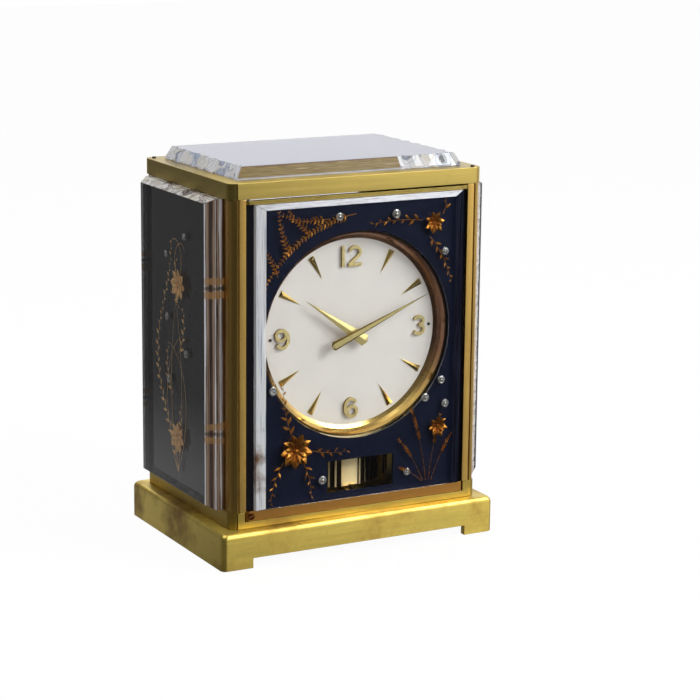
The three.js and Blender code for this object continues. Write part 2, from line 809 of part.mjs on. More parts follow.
// Wedge marker: wide at its outer end, pointed inward, with a ridge along the middle
function markerGeometry() {
  const outer = bezelInnerRadius - markerSetIn;
  const inner = outer - markerLength;
  const half = markerWidth / 2;
  const points = [];
  for (const [x, r] of [[-half, outer], [half, outer], [0, inner]]) {
    points.push(new THREE.Vector3(x, 0, r), new THREE.Vector3(x, -markerEdge, r));
  }
  points.push(new THREE.Vector3(0, -markerThickness, outer - markerEndSlope));
  return new ConvexGeometry(points);
}

// A faceted hand about its own axis, pointing to +Z: a long wedge whose top keeps a share of its width
function handGeometry(length, tail, width, flatShare) {
  const half = width / 2;
  const shoulder = -(tail - handTailPoint);
  const points = [];
  for (const [x, r] of [[0, length], [-half, shoulder], [half, shoulder], [0, -tail]]) {
    points.push(new THREE.Vector3(x, 0, r), new THREE.Vector3(x, -handEdge, r));
  }
  const flat = half * flatShare;
  const topEnd = shoulder + handTailPoint / 4;
  points.push(new THREE.Vector3(-flat, -handRidge, topEnd), new THREE.Vector3(flat, -handRidge, topEnd));
  return new ConvexGeometry(points);
}

// Outline of a toothed wheel, with a tooth at the phase angle in degrees
function gearShape(teeth, phase) {
  const pitch = (teeth * toothModule) / 2;
  const tip = pitch + addendumShare * toothModule;
  const root = pitch - dedendumShare * toothModule;
  const step = fullTurn / teeth;
  const points = [];
  for (let i = 0; i < teeth; i += 1) {
    const middle = phase * degree + i * step;
    const flanks = [[root, -toothRootShare], [tip, -toothTipShare], [tip, toothTipShare],
      [root, toothRootShare]];
    for (const [radius, share] of flanks) {
      const angle = middle + (share * step) / 2;
      points.push(new THREE.Vector2(radius * Math.cos(angle), radius * Math.sin(angle)));
    }
  }
  return new THREE.Shape(points);
}

// Phase in degrees of the wheel at the far end of a line of centres, with a gap towards the first wheel
function meshingPhase(teeth, lineAngle) {
  return lineAngle + halfTurn + halfTurn / teeth;
}

// Pitch radius of a wheel
function pitchRadius(teeth) {
  return (teeth * toothModule) / 2;
}

// A toothed disc from y0 to y1
function gear(teeth, phase, y0, y1) {
  return plate(gearShape(teeth, phase), y0, y1);
}

// An arbor between the plates, with thinner pivots that run in them
function arbor() {
  const bar = barY(arborRadius, frontPlateBack + pivotGap, rearPlateFace - pivotGap, 0, 0, 8);
  const pivots = barY(pivotRadius, frontPlateFace + pivotGap, rearPlateBack - pivotGap, 0, 0, 8);
  return [bar, pivots];
}

// Places of the wheels, as X and Z
const centre = { x: 0, z: dialCentreHeight };
const barrelDistance = pitchRadius(barrelTeeth) + pitchRadius(centrePinionTeeth);
const barrelAt = { x: 0, z: dialCentreHeight + barrelDistance };
const place = (from, distance, angle) => ({
  x: from.x + distance * Math.cos(angle * degree),
  z: from.z + distance * Math.sin(angle * degree),
});
const thirdAt = place(centre, pitchRadius(centreTeeth) + pitchRadius(thirdPinionTeeth), thirdWheelAngle);
const escapeAt = place(thirdAt, pitchRadius(thirdTeeth) + pitchRadius(escapePinionTeeth), escapeWheelAngle);
const motionDistance = pitchRadius(cannonTeeth) + pitchRadius(minuteTeeth);
const minuteAt = place(centre, motionDistance, minuteWheelAngle);
const anchorAt = { x: escapeAt.x, z: escapeAt.z - anchorDrop };

// Levels of the wheels between the plates and in front of them
const barrelFront = frontPlateBack + barrelSetIn;
const centreWheelFront = rearPlateFace - centreWheelSetIn;
const thirdWheelFront = frontPlateBack + thirdWheelSetIn;
const escapeWheelFront = rearPlateFace - escapeWheelSetIn;
const pinionOverlap = (pinionThickness - wheelThickness) / 2;
const motionFront = frontPlateFace - pivotGap - wheelThickness;
const hourWheelFront = motionFront - hourWheelLead;

// Outline of a movement plate: a rounded body with a lug for each column
function movementPlateShape() {
  const lugOuter = dialWindowRadius + lugOverhang;
  const lugInner = dialWindowRadius - lugInnerSetIn;
  const right = [[plateHalfWidth, plateTop - plateCorner], [plateHalfWidth, plateBottom + plateCorner],
    [lugOuter, lugBottom + lugHeight], [lugOuter, lugBottom], [lugInner, lugBottom],
    [lugInner - plateCorner, plateBottom]];
  const shape = new THREE.Shape();
  shape.moveTo(0, plateTop);
  shape.lineTo(plateHalfWidth - plateCorner, plateTop);
  right.forEach(([x, z]) => shape.lineTo(x, z));
  right.reverse().forEach(([x, z]) => shape.lineTo(-x, z));
  shape.lineTo(-(plateHalfWidth - plateCorner), plateTop);
  return shape;
}

// A movement plate with holes for the pivots
function movementPlate(y0, y1, centreHole) {
  const holes = [barrelAt, thirdAt, escapeAt, anchorAt].map((at) => barY(pivotRadius + pivotGap,
    y0 - cutOverrun, y1 + cutOverrun, at.x, at.z, 12));
  const middle = barY(centreHole, y0 - cutOverrun, y1 + cutOverrun, centre.x, centre.z, 16);
  return combine([plate(movementPlateShape(), y0, y1)], [...holes, middle]);
}

// Front plate with the stud of the minute wheel
function frontPlateGeometry() {
  const stud = barY(pivotRadius, hourWheelFront, frontPlateFace + wheelThickness, minuteAt.x, minuteAt.z, 12);
  return combine([movementPlate(frontPlateFace, frontPlateBack, arborRadius + pivotGap), stud]);
}

// Rear plate with its distance posts
function rearPlateGeometry() {
  const posts = [];
  for (const side of [-1, 1]) {
    for (const z of [plateTop - postInsetZ, plateBottom + postInsetZ]) {
      const x = side * (plateHalfWidth - postInsetX);
      posts.push(barY(postRadius, frontPlateBack + seatGap, rearPlateFace + wheelThickness, x, z, 16));
    }
  }
  return combine([movementPlate(rearPlateFace, rearPlateBack, pivotRadius + pivotGap), ...posts]);
}

// Column: a turned shaft with a square head that fills the space between the plates
function columnGeometry() {
  const bottom = pillarBottom;
  const headBottom = lugBottom + (lugHeight - columnHeadHeight) / 2;
  const waist = (bottom + headBottom) / 2;
  const flange = bottom + columnFootHeight;
  const profile = [[0, bottom], [columnFootRadius, bottom], [columnFootRadius, flange],
    [columnRadius, flange], [columnWaistRadius, waist], [columnRadius, headBottom + seatGap],
    [0, headBottom + seatGap]];
  const half = columnHeadWidth / 2;
  const head = boxBetween(-half, frontPlateBack + seatGap - columnY, headBottom, half,
    rearPlateFace - seatGap - columnY, headBottom + columnHeadHeight);
  return combine([turnedZ(profile), head]);
}

// Housing of the bellows: a drum with stepped faces, on posts from the rear plate
function bellowsGeometry() {
  const rear = bellowsRear;
  const inner = bellowsRadius - bellowsRimWidth;
  const sunk = rear - bellowsStep / 2;
  const profile = [[0, bellowsFront], [inner, bellowsFront], [inner, bellowsFront + bellowsStep],
    [bellowsRadius, bellowsFront + bellowsStep], [bellowsRadius, rear - bellowsStep],
    [inner, rear - bellowsStep], [inner, rear], [inner - bellowsStep, rear], [inner - bellowsStep, sunk],
    [bellowsBossRadius, sunk], [bellowsBossRadius, rear], [0, rear]];
  const posts = [];
  const postPlace = bellowsRadius - bellowsPostSetIn;
  const postX = postPlace * Math.cos(bellowsPostAngle * degree);
  const postZ = postPlace * Math.sin(bellowsPostAngle * degree);
  for (const x of [-postX, postX]) {
    for (const z of [-postZ, postZ]) {
      posts.push(barY(postRadius, rearPlateBack + seatGap, bellowsFront + wheelThickness, x, z, 16));
    }
  }
  return combine([turnedY(profile, 36), ...posts]);
}

// Bracket on the rear plate with the tube that guards the suspension wire
function bracketGeometry() {
  const half = bracketWidth / 2;
  const armFront = rearPlateBack + seatGap;
  const armBack = pendulumAxisY + half;
  const armBottom = plateTop - bracketHeight;
  const arm = boxBetween(-half, armFront, armBottom, half, armBack, plateTop);
  const flangeBack = armFront + bracketFlangeThickness;
  const flange = boxBetween(-half, armFront, plateTop - bracketFlange, half, flangeBack, plateTop);
  const tubeBottom = pendulumTop + tubeSpace;
  const tube = barZ(tubeRadius, tubeBottom, armBottom + wheelThickness, 0, pendulumAxisY);
  const bore = barZ(tubeBore, tubeBottom - cutOverrun, armBottom + wheelThickness, 0, pendulumAxisY);
  const wireHole = barZ(wireRadius + slideGap, armBottom, plateTop + cutOverrun, 0, pendulumAxisY);
  return combine([arm, flange, tube], [bore, wireHole]);
}

// Outline of the pendulum's drum with its groups of upright ribs
function pendulumShape() {
  const valley = pendulumRadius - pendulumRibDepth;
  const points = [];
  const groupStep = 360 / pendulumRibGroups;
  const half = pendulumRibWidth / 2;
  const groupSpan = (pendulumRibsInGroup - 1) * pendulumRibPitch;
  const at = (radius, angle) => new THREE.Vector2(radius * Math.cos(angle * degree),
    radius * Math.sin(angle * degree));
  for (let group = 0; group < pendulumRibGroups; group += 1) {
    const start = group * groupStep;
    for (let rib = 0; rib < pendulumRibsInGroup; rib += 1) {
      const middle = start + rib * pendulumRibPitch;
      const crest = half * pendulumCrestShare;
      points.push(at(valley, middle - half), at(pendulumRadius, middle - crest));
      points.push(at(pendulumRadius, middle + crest), at(valley, middle + half));
    }
    const plain = groupStep - groupSpan;
    points.push(at(valley, start + groupSpan + plain / 3), at(valley, start + groupSpan + (plain * 2) / 3));
  }
  return new THREE.Shape(points);
}

// Pendulum: a heavy ribbed drum with a shallow dish and a hub for the wire
function pendulumGeometry() {
  const drum = raised(pendulumShape(), 0, pendulumHeight);
  const floor = pendulumHeight - pendulumRecess;
  const dish = barZ(pendulumRadius - pendulumRim, floor, pendulumHeight + cutOverrun, 0, 0, 48);
  const hub = barZ(pendulumHubRadius, pendulumHeight / 2, pendulumHeight + pendulumHubHeight, 0, 0, 24);
  return geometryOf(solidOf(drum).subtract(solidOf(dish)).add(solidOf(hub)));
}

// Lock lever: an arm under the pendulum with a knob to push sideways
function lockLeverGeometry() {
  const half = lockWidth / 2;
  const arm = roundedShape(-half, -lockLength - half, half, half, half - seatGap, 4);
  const knob = barZ(lockKnobRadius, lockThickness / 2, lockThickness + lockKnobHeight, 0, -lockLength);
  const hole = barZ(lockStudRadius + slideGap, -cutOverrun, lockThickness + cutOverrun);
  return combine([raised(arm, 0, lockThickness), knob], [hole]);
}

// Levelling foot: a pad with the stem that screws up into the plinth's boss
function levellingFootGeometry() {
  const padTop = footPadRise + footPadThickness;
  const profile = [[0, footPadRise], [footPadRadius - footPadEdge, footPadRise],
    [footPadRadius, footPadRise + footPadEdge], [footPadRadius, padTop], [footStemRadius, padTop],
    [footStemRadius, footStemTop], [0, footStemTop]];
  return turnedZ(profile, 16);
}

// Escape wheel: pointed teeth that lean forward
function escapeShape() {
  const points = [];
  const step = fullTurn / escapeTeeth;
  const root = escapeRadius - escapeToothDepth;
  for (let i = 0; i < escapeTeeth; i += 1) {
    const angle = i * step;
    const [tip, heel] = escapeTipShares;
    const tooth = [[root, 0], [root, escapeHeelShare], [escapeRadius, tip], [escapeRadius, heel]];
    for (const [radius, share] of tooth) {
      points.push(new THREE.Vector2(radius * Math.cos(angle + share * step),
        radius * Math.sin(angle + share * step)));
    }
  }
  return new THREE.Shape(points);
}

// Anchor: two arms with a pallet each, astride the escape wheel
function anchorGeometry() {
  const half = anchorWidth / 2;
  const y0 = escapeWheelFront;
  const y1 = escapeWheelFront + wheelThickness;
  const bar = boxBetween(-anchorArm - half, y0, -half, anchorArm + half, y1, half);
  const pallets = [-anchorArm, anchorArm].map((x) => boxBetween(x - half, y0, 0, x + half, y1, palletLength));
  return combine([bar, ...pallets, ...arbor()]);
}

// Frame of the rear cover with the hole of the latch
function rearFrameGeometry() {
  const half = doorHalf - slideGap;
  const bottom = pillarBottom + slideGap;
  const top = topFrameBottom - slideGap;
  const back = caseBack - rearFrameSetIn;
  const shape = roundedShape(-half, bottom, half, top, rearFrameSetIn, 2);
  const bar = rearFrameBar;
  shape.holes.push(roundedShape(-half + bar, bottom + bar, half - bar, top - bar, rearFrameSetIn, 2));
  const hole = barY(latchShaftRadius + slideGap, back - rearFrameThickness - cutOverrun, back + cutOverrun, 0,
    top - bar / 2);
  return combine([plate(shape, back - rearFrameThickness, back)], [hole]);
}

// Glass that fills the rear frame's opening
function rearGlassGeometry() {
  const half = doorHalf - slideGap - rearFrameBar - seatGap;
  const bottom = pillarBottom + slideGap + rearFrameBar + seatGap;
  const top = topFrameBottom - slideGap - rearFrameBar - seatGap;
  const middle = caseBack - rearFrameSetIn - rearFrameThickness / 2;
  return plate(roundedShape(-half, bottom, half, top, rearFrameSetIn, 2), middle - rearGlassThickness / 2,
    middle + rearGlassThickness / 2);
}

// Latch: a knob outside, its shaft through the frame and a tongue inside
function latchGeometry() {
  const back = caseBack - rearFrameSetIn;
  const front = back - rearFrameThickness;
  const knobFront = back + slideGap;
  const knobBack = back + latchKnobLength;
  const knobProfile = [[0, knobFront], [latchKnobRadius - latchKnobEdge, knobFront],
    [latchKnobRadius, knobFront + latchKnobEdge], [latchKnobRadius, knobBack - latchKnobEdge],
    [latchKnobRadius - latchKnobEdge, knobBack], [0, knobBack]];
  const tongueBack = front - slideGap;
  const tongueFront = tongueBack - latchTongueThickness;
  const shaft = barY(latchShaftRadius, (tongueFront + tongueBack) / 2, back + latchKnobLength / 2);
  const half = latchTongueWidth / 2;
  const tongue = boxBetween(-half, tongueFront, -half, latchTongueLength, tongueBack, half);
  return combine([turnedY(knobProfile, 18), shaft, tongue]);
}

// Case
add('plinth', plinthGeometry(), brass);
add('base_platform', platformGeometry(), brass);
const roofUnderside = plinthHeight - plinthRoof;
add('rear_foot', barZ(rearFootRadius, footPadRise, roofUnderside - seatGap), steel, 0, rearFootPlaceY);
for (const [name, sideX, sideY] of [['front_left', -1, -1], ['front_right', 1, -1], ['rear_left', -1, 1],
  ['rear_right', 1, 1]]) {
  add(`pillar_${name}`, raised(pillarShape(sideX, sideY), pillarBottom, topFrameBottom - seatGap), brass);
}
add('top_frame', raised(casePlan(), topFrameBottom, topFrameTop), brass);
add('top_slab', topSlabGeometry(), acrylic);
add('left_slab', sideSlabGeometry(-1), acrylic);
add('right_slab', sideSlabGeometry(1), acrylic);
add('left_backing', backingGeometry(-1), blackLacquer);
add('right_backing', backingGeometry(1), blackLacquer);
const levelTop = pillarBottom + levelHeight;
const levelProfile = [[0, pillarBottom], [levelRadius, pillarBottom],
  [levelRadius, levelTop - wheelThickness], [levelRadius - wheelThickness, levelTop], [0, levelTop]];
add('spirit_level', turnedZ(levelProfile), paleBrass, levelPlaceX, levelSetIn - caseFront);
const lowerPinBottom = bottomRailBottom - slideGap + seatGap;
add('hinge_pin_lower', barZ(hingePinRadius, lowerPinBottom, bottomRailTop - slideGap), steel, pivotX, pivotY);
const upperPinBottom = topRailBottom + slideGap;
add('hinge_pin_upper', barZ(hingePinRadius, upperPinBottom, topFrameBottom - seatGap), steel, pivotX, pivotY);

// Front door
add('door_bottom_rail', railGeometry(bottomRailBottom, bottomRailTop), redBrass);
add('door_top_rail', railGeometry(topRailBottom, topRailTop), paleBrass);
add('door_frame', doorPlateGeometry(), nightBlue);
add('door_slab', doorSlabGeometry(), acrylic);

// Rear cover
add('rear_frame', rearFrameGeometry(), brass);
add('rear_glass', rearGlassGeometry(), acrylic);
add('rear_latch', latchGeometry(), paleBrass, 0, 0, topFrameBottom - slideGap - rearFrameBar / 2);

// Fixed parts of the movement
add('front_plate', frontPlateGeometry(), paleBrass);
add('rear_plate', rearPlateGeometry(), paleBrass);
add('column_left', columnGeometry(), paleBrass, -columnPlaceX, columnY);
add('column_right', columnGeometry(), paleBrass, columnPlaceX, columnY);
add('bellows_housing', bellowsGeometry(), brass, 0, 0, dialCentreHeight);
add('suspension_bracket', bracketGeometry(), paleBrass);
add('bezel', bezelGeometry(), paleBrass, 0, 0, dialCentreHeight);
add('dial', dialGeometry(), ivory, 0, 0, dialCentreHeight);
const figures = [['12_one', 12, figureOne(-numeralHeight * figureOneShare)],
  ['12_two', 12, figureTwo(numeralHeight * figureTwoShare)], ['3', 3, figureThree()], ['6', 6, figureSix(1)],
  ['9', 9, figureSix(-1)]];
const numeralPlace = bezelInnerRadius - numeralSetIn;
for (const [name, hour, paths] of figures) {
  const angle = (hour / 12) * fullTurn;
  const x = numeralPlace * Math.sin(angle);
  const z = dialCentreHeight + numeralPlace * Math.cos(angle);
  add(`numeral_${name}`, numeralGeometry(paths), paleBrass, x, dialFace - seatGap, z);
}
for (const hour of [1, 2, 4, 5, 7, 8, 10, 11]) {
  const marker = add(`marker_${hour}`, markerGeometry(), paleBrass, 0, dialFace - seatGap, dialCentreHeight);
  marker.rotation.y = (hour / 12) * fullTurn;
}

// Motion work and hands
const minuteLine = minuteWheelAngle;
const cannon = gear(cannonTeeth, minuteLine, motionFront - pinionOverlap, motionFront + wheelThickness);
const minuteBack = dialFace - minuteHandRise;
const hourBack = dialFace - hourHandRise;
const cannonPipe = barY(cannonPipeRadius, minuteBack + seatGap, motionFront + seatGap, 0, 0, 16);
add('cannon_pinion', combine([cannon, cannonPipe]), steel, centre.x, 0, centre.z);
const hourPipe = barY(hourPipeRadius, hourBack + seatGap, hourWheelFront + wheelThickness, 0, 0, 20);
const hourBore = barY(cannonPipeRadius + slideGap, minuteBack, frontPlateFace, 0, 0, 16);
const hourGear = gear(hourTeeth, minuteLine, hourWheelFront, hourWheelFront + wheelThickness);
const minutePhase = meshingPhase(minuteTeeth, minuteLine);
const minuteGear = gear(minuteTeeth, minutePhase, motionFront, motionFront + wheelThickness);
const motionModuleScale = (2 * motionDistance) / ((hourTeeth + minutePinionTeeth) * toothModule);
add('hour_wheel', combine([hourGear.scale(motionModuleScale, 1, motionModuleScale), hourPipe], [hourBore]),
  paleBrass, centre.x, 0, centre.z);
const minutePinion = gear(minutePinionTeeth, meshingPhase(minutePinionTeeth, minuteLine),
  hourWheelFront - pinionOverlap, motionFront + seatGap).scale(motionModuleScale, 1, motionModuleScale);
const studBore = barY(pivotRadius + pivotGap, dialFace, frontPlateFace, 0, 0, 12);
add('minute_wheel', combine([minuteGear, minutePinion], [studBore]), paleBrass, minuteAt.x, 0, minuteAt.z);
const handHole = barY(cannonPipeRadius + slideGap, -handRidge - cutOverrun, cutOverrun);
const hourBlade = handGeometry(bezelInnerRadius - hourHandSetIn, hourHandTail, hourHandWidth, hourFlatShare);
const hourHand = add('hour_hand', combine([hourBlade], [handHole]), paleBrass, centre.x, hourBack, centre.z);
hourHand.rotation.y = hourAngle * degree;
const minuteBlade = handGeometry(bezelInnerRadius - minuteHandSetIn, minuteHandTail, minuteHandWidth,
  minuteFlatShare);
const minuteHand = add('minute_hand', minuteBlade, paleBrass, centre.x, minuteBack, centre.z);
minuteHand.rotation.y = minuteAngle * degree;

// Going train
const barrelLine = -90;
const barrelGear = gear(barrelTeeth, barrelLine, barrelFront, barrelFront + wheelThickness);
const barrelBack = barrelFront + barrelDrumLength;
const barrelDrum = barY(barrelDrumRadius, barrelFront + wheelThickness / 2, barrelBack, 0, 0, 36);
add('barrel', combine([barrelGear, barrelDrum, ...arbor()]), brass, barrelAt.x, 0, barrelAt.z);
const centrePinion = gear(centrePinionTeeth, meshingPhase(centrePinionTeeth, barrelLine),
  barrelFront - pinionOverlap, barrelFront + wheelThickness + pinionOverlap);
const centreGear = gear(centreTeeth, thirdWheelAngle, centreWheelFront, centreWheelFront + wheelThickness);
const centreArbor = barY(arborRadius, frontPlateFace + pivotGap, rearPlateFace - pivotGap, 0, 0, 12);
const centrePivot = barY(pivotRadius, rearPlateFace - wheelThickness, rearPlateBack - pivotGap, 0, 0, 12);
add('centre_wheel', combine([centreGear, centrePinion, centreArbor, centrePivot]), paleBrass, centre.x, 0,
  centre.z);
const thirdPinion = gear(thirdPinionTeeth, meshingPhase(thirdPinionTeeth, thirdWheelAngle),
  centreWheelFront - pinionOverlap, centreWheelFront + wheelThickness + pinionOverlap);
const thirdGear = gear(thirdTeeth, escapeWheelAngle, thirdWheelFront, thirdWheelFront + wheelThickness);
add('third_wheel', combine([thirdGear, thirdPinion, ...arbor()]), paleBrass, thirdAt.x, 0, thirdAt.z);
const escapePinion = gear(escapePinionTeeth, meshingPhase(escapePinionTeeth, escapeWheelAngle),
  thirdWheelFront - pinionOverlap, thirdWheelFront + wheelThickness + pinionOverlap);
const escapeGear = plate(escapeShape(), escapeWheelFront, escapeWheelFront + wheelThickness);
add('escape_wheel', combine([escapeGear, escapePinion, ...arbor()]), steel, escapeAt.x, 0, escapeAt.z);
add('anchor', anchorGeometry(), steel, anchorAt.x, 0, anchorAt.z);

// Pendulum and its wire
add('pendulum', pendulumGeometry(), brass, 0, pendulumAxisY, pendulumBottom);
const wire = barZ(wireRadius, pendulumTop + seatGap, plateTop - seatGap, 0, 0, 8);
add('suspension_wire', wire, steel, 0, pendulumAxisY);

// Lever and feet that the owner sets
add('lock_lever', lockLeverGeometry(), paleBrass, 0, lockPivotY, pillarBottom + slideGap);
add('levelling_foot_left', levellingFootGeometry(), steel, -footPlaceX, footPlaceY);
add('levelling_foot_right', levellingFootGeometry(), steel, footPlaceX, footPlaceY);

export default clock;
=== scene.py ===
"""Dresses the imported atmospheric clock: brass case, acrylic slabs, dial, hands, movement and ornaments."""
import json
import math

import bmesh
import bpy
from mathutils import Matrix, Vector


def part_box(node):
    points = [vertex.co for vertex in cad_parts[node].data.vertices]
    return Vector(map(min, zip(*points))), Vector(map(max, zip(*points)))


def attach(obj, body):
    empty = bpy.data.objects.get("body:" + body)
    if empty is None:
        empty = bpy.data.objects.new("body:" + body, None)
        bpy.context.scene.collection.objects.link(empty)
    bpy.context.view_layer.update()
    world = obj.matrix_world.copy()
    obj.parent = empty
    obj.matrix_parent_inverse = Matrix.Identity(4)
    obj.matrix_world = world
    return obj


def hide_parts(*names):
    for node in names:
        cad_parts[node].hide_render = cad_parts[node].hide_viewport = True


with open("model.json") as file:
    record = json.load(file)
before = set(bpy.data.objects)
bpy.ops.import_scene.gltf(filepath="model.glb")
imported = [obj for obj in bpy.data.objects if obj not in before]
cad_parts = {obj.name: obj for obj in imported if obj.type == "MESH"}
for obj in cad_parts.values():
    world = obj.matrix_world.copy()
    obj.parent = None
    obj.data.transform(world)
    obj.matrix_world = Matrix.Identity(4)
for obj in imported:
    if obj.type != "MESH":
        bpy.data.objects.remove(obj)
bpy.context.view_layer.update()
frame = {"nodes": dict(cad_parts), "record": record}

bl_info = {
    "name": "Atmospheric clock",
    "version": (1, 0, 0),
    "blender": (4, 5, 0),
    "location": "3D View > Sidebar > Clock",
    "description": "Finishes and ornaments for a brass and acrylic table clock",
    "category": "Object",
}

MM = 0.001
SLAB_EDGE = 0.12 * MM
# Corners nearer to each other than this, and faces flatter than this, count as one.
SAME_PLACE = 1e-6
SAME_FLAT = math.radians(0.6)
# Tones painted on the cut and hewn acrylic for the light, shade and reflections seen in it, as levels on a
# screen.
WHITE, CREAM, COLD, PALE = (252, 252, 250), (246, 240, 220), (190, 202, 218), (226, 226, 230)
DARK, BROWN, TAN, BRONZE = (52, 46, 46), (104, 84, 72), (172, 150, 132), (172, 132, 84)


def srgb(red, green, blue):
    """A colour given as it looks on a screen, 0 to 255, in the linear values that shaders use."""
    def linear(level):
        level /= 255
        return level / 12.92 if level <= 0.04045 else ((level + 0.055) / 1.055) ** 2.4
    return tuple(linear(level) for level in (red, green, blue))


def tint(name, description, *levels):
    """A colour that the user can change, with a default given as it looks on a screen."""
    return bpy.props.FloatVectorProperty(
        name=name, description=description, default=srgb(*levels), subtype="COLOR", size=3, min=0, max=1)


class StageSettings(bpy.types.PropertyGroup):
    """Camera and light."""
    camera_place: bpy.props.FloatVectorProperty(
        name="Camera place", description="Where the camera stands", size=3, subtype="TRANSLATION",
        default=(-0.6430, -1.2256, 0.4254))
    camera_aim: bpy.props.FloatVectorProperty(
        name="Camera aim", description="Direction in which the camera looks", size=3, subtype="DIRECTION",
        default=(0.4677, 0.8557, -0.2216))
    camera_roll: bpy.props.FloatProperty(
        name="Camera roll", description="Turn of the picture about its middle", unit="ROTATION",
        default=math.radians(0.61))
    camera_lens: bpy.props.FloatProperty(
        name="Lens", description="Focal length for a sensor 36 mm wide", default=118.48, min=1,
        unit="CAMERA")
    key_power: bpy.props.FloatProperty(
        name="Key light", description="Power of the soft lamp at the front right", default=15.5, min=0,
        unit="POWER")
    room_level: bpy.props.FloatProperty(
        name="Room light", description="Level of the light from all round", default=0.5, min=0)


class MetalSettings(bpy.types.PropertyGroup):
    """Metal colours and finishes."""
    brass: tint("Case brass", "Brushed brass of the top frame", 190, 167, 92)
    post_brass: tint("Pillar brass", "Browner brass of the pillars", 198, 162, 88)
    plinth_brass: tint("Plinth brass", "Brass of the plinth", 236, 209, 106)
    step_brass: tint("Platform brass", "Brass of the platform", 184, 159, 80)
    stain_and_painted_reflection: tint("Stain", "Brown bloom on old brass", 132, 92, 42)
    copper: tint("Rail copper", "Reddish brass of the door's bottom rail", 198, 144, 74)
    gilt: tint("Gilt", "Polished gilt of the markers and wheels", 240, 206, 122)
    bezel_gilt: tint("Bezel gilt", "Gilt of the bezel's lower part", 236, 200, 118)
    # Painted shade: blended into the bezel's upper part to darken it.
    bezel_painted_shade: tint("Bezel painted shade", "Painted shade on the bezel's upper part", 150, 112, 88)
    hand_gilt: tint("Hand gilt", "Bright part of the hands", 255, 236, 160)
    # Painted shade: blended into the hands towards their tips.
    hand_painted_shade: tint("Hand painted shade", "Painted shade on the tips of the hands", 120, 88, 40)
    cream_gilt: tint("Numeral gilt", "Pale satin faces of the numerals", 255, 236, 168)
    sprig: tint("Ornament copper", "Warm metal of the door's ornaments", 214, 146, 62)
    sprig_gold: tint("Ornament gold", "Paler metal of the side ornaments", 255, 214, 150)
    silver: tint("Ornament silver", "Bright beads of the ornaments", 236, 236, 232)
    steel: tint("Steel", "Arbors, pins and feet", 190, 192, 196)
    edge_radius: bpy.props.FloatProperty(
        name="Edge radius", description="Rounding of the case's brass edges", default=0.3 * MM, min=0,
        unit="LENGTH", precision=5)


class SlabSettings(bpy.types.PropertyGroup):
    """Acrylic slabs and the paint behind them."""
    night_blue: tint("Door paint", "Paint behind the door's slab", 14, 20, 42)
    black: tint("Side paint", "Paint behind the side slabs", 17, 17, 24)
    top_sheet: tint("Top sheet", "Pale sheet under the top slab", 150, 151, 166)
    refraction: bpy.props.FloatProperty(
        name="Refraction", description="Index of refraction of acrylic", default=1.49, min=1, max=3)


class DialSettings(bpy.types.PropertyGroup):
    """Dial."""
    ivory: tint("Dial", "Paint of the dial", 236, 231, 222)


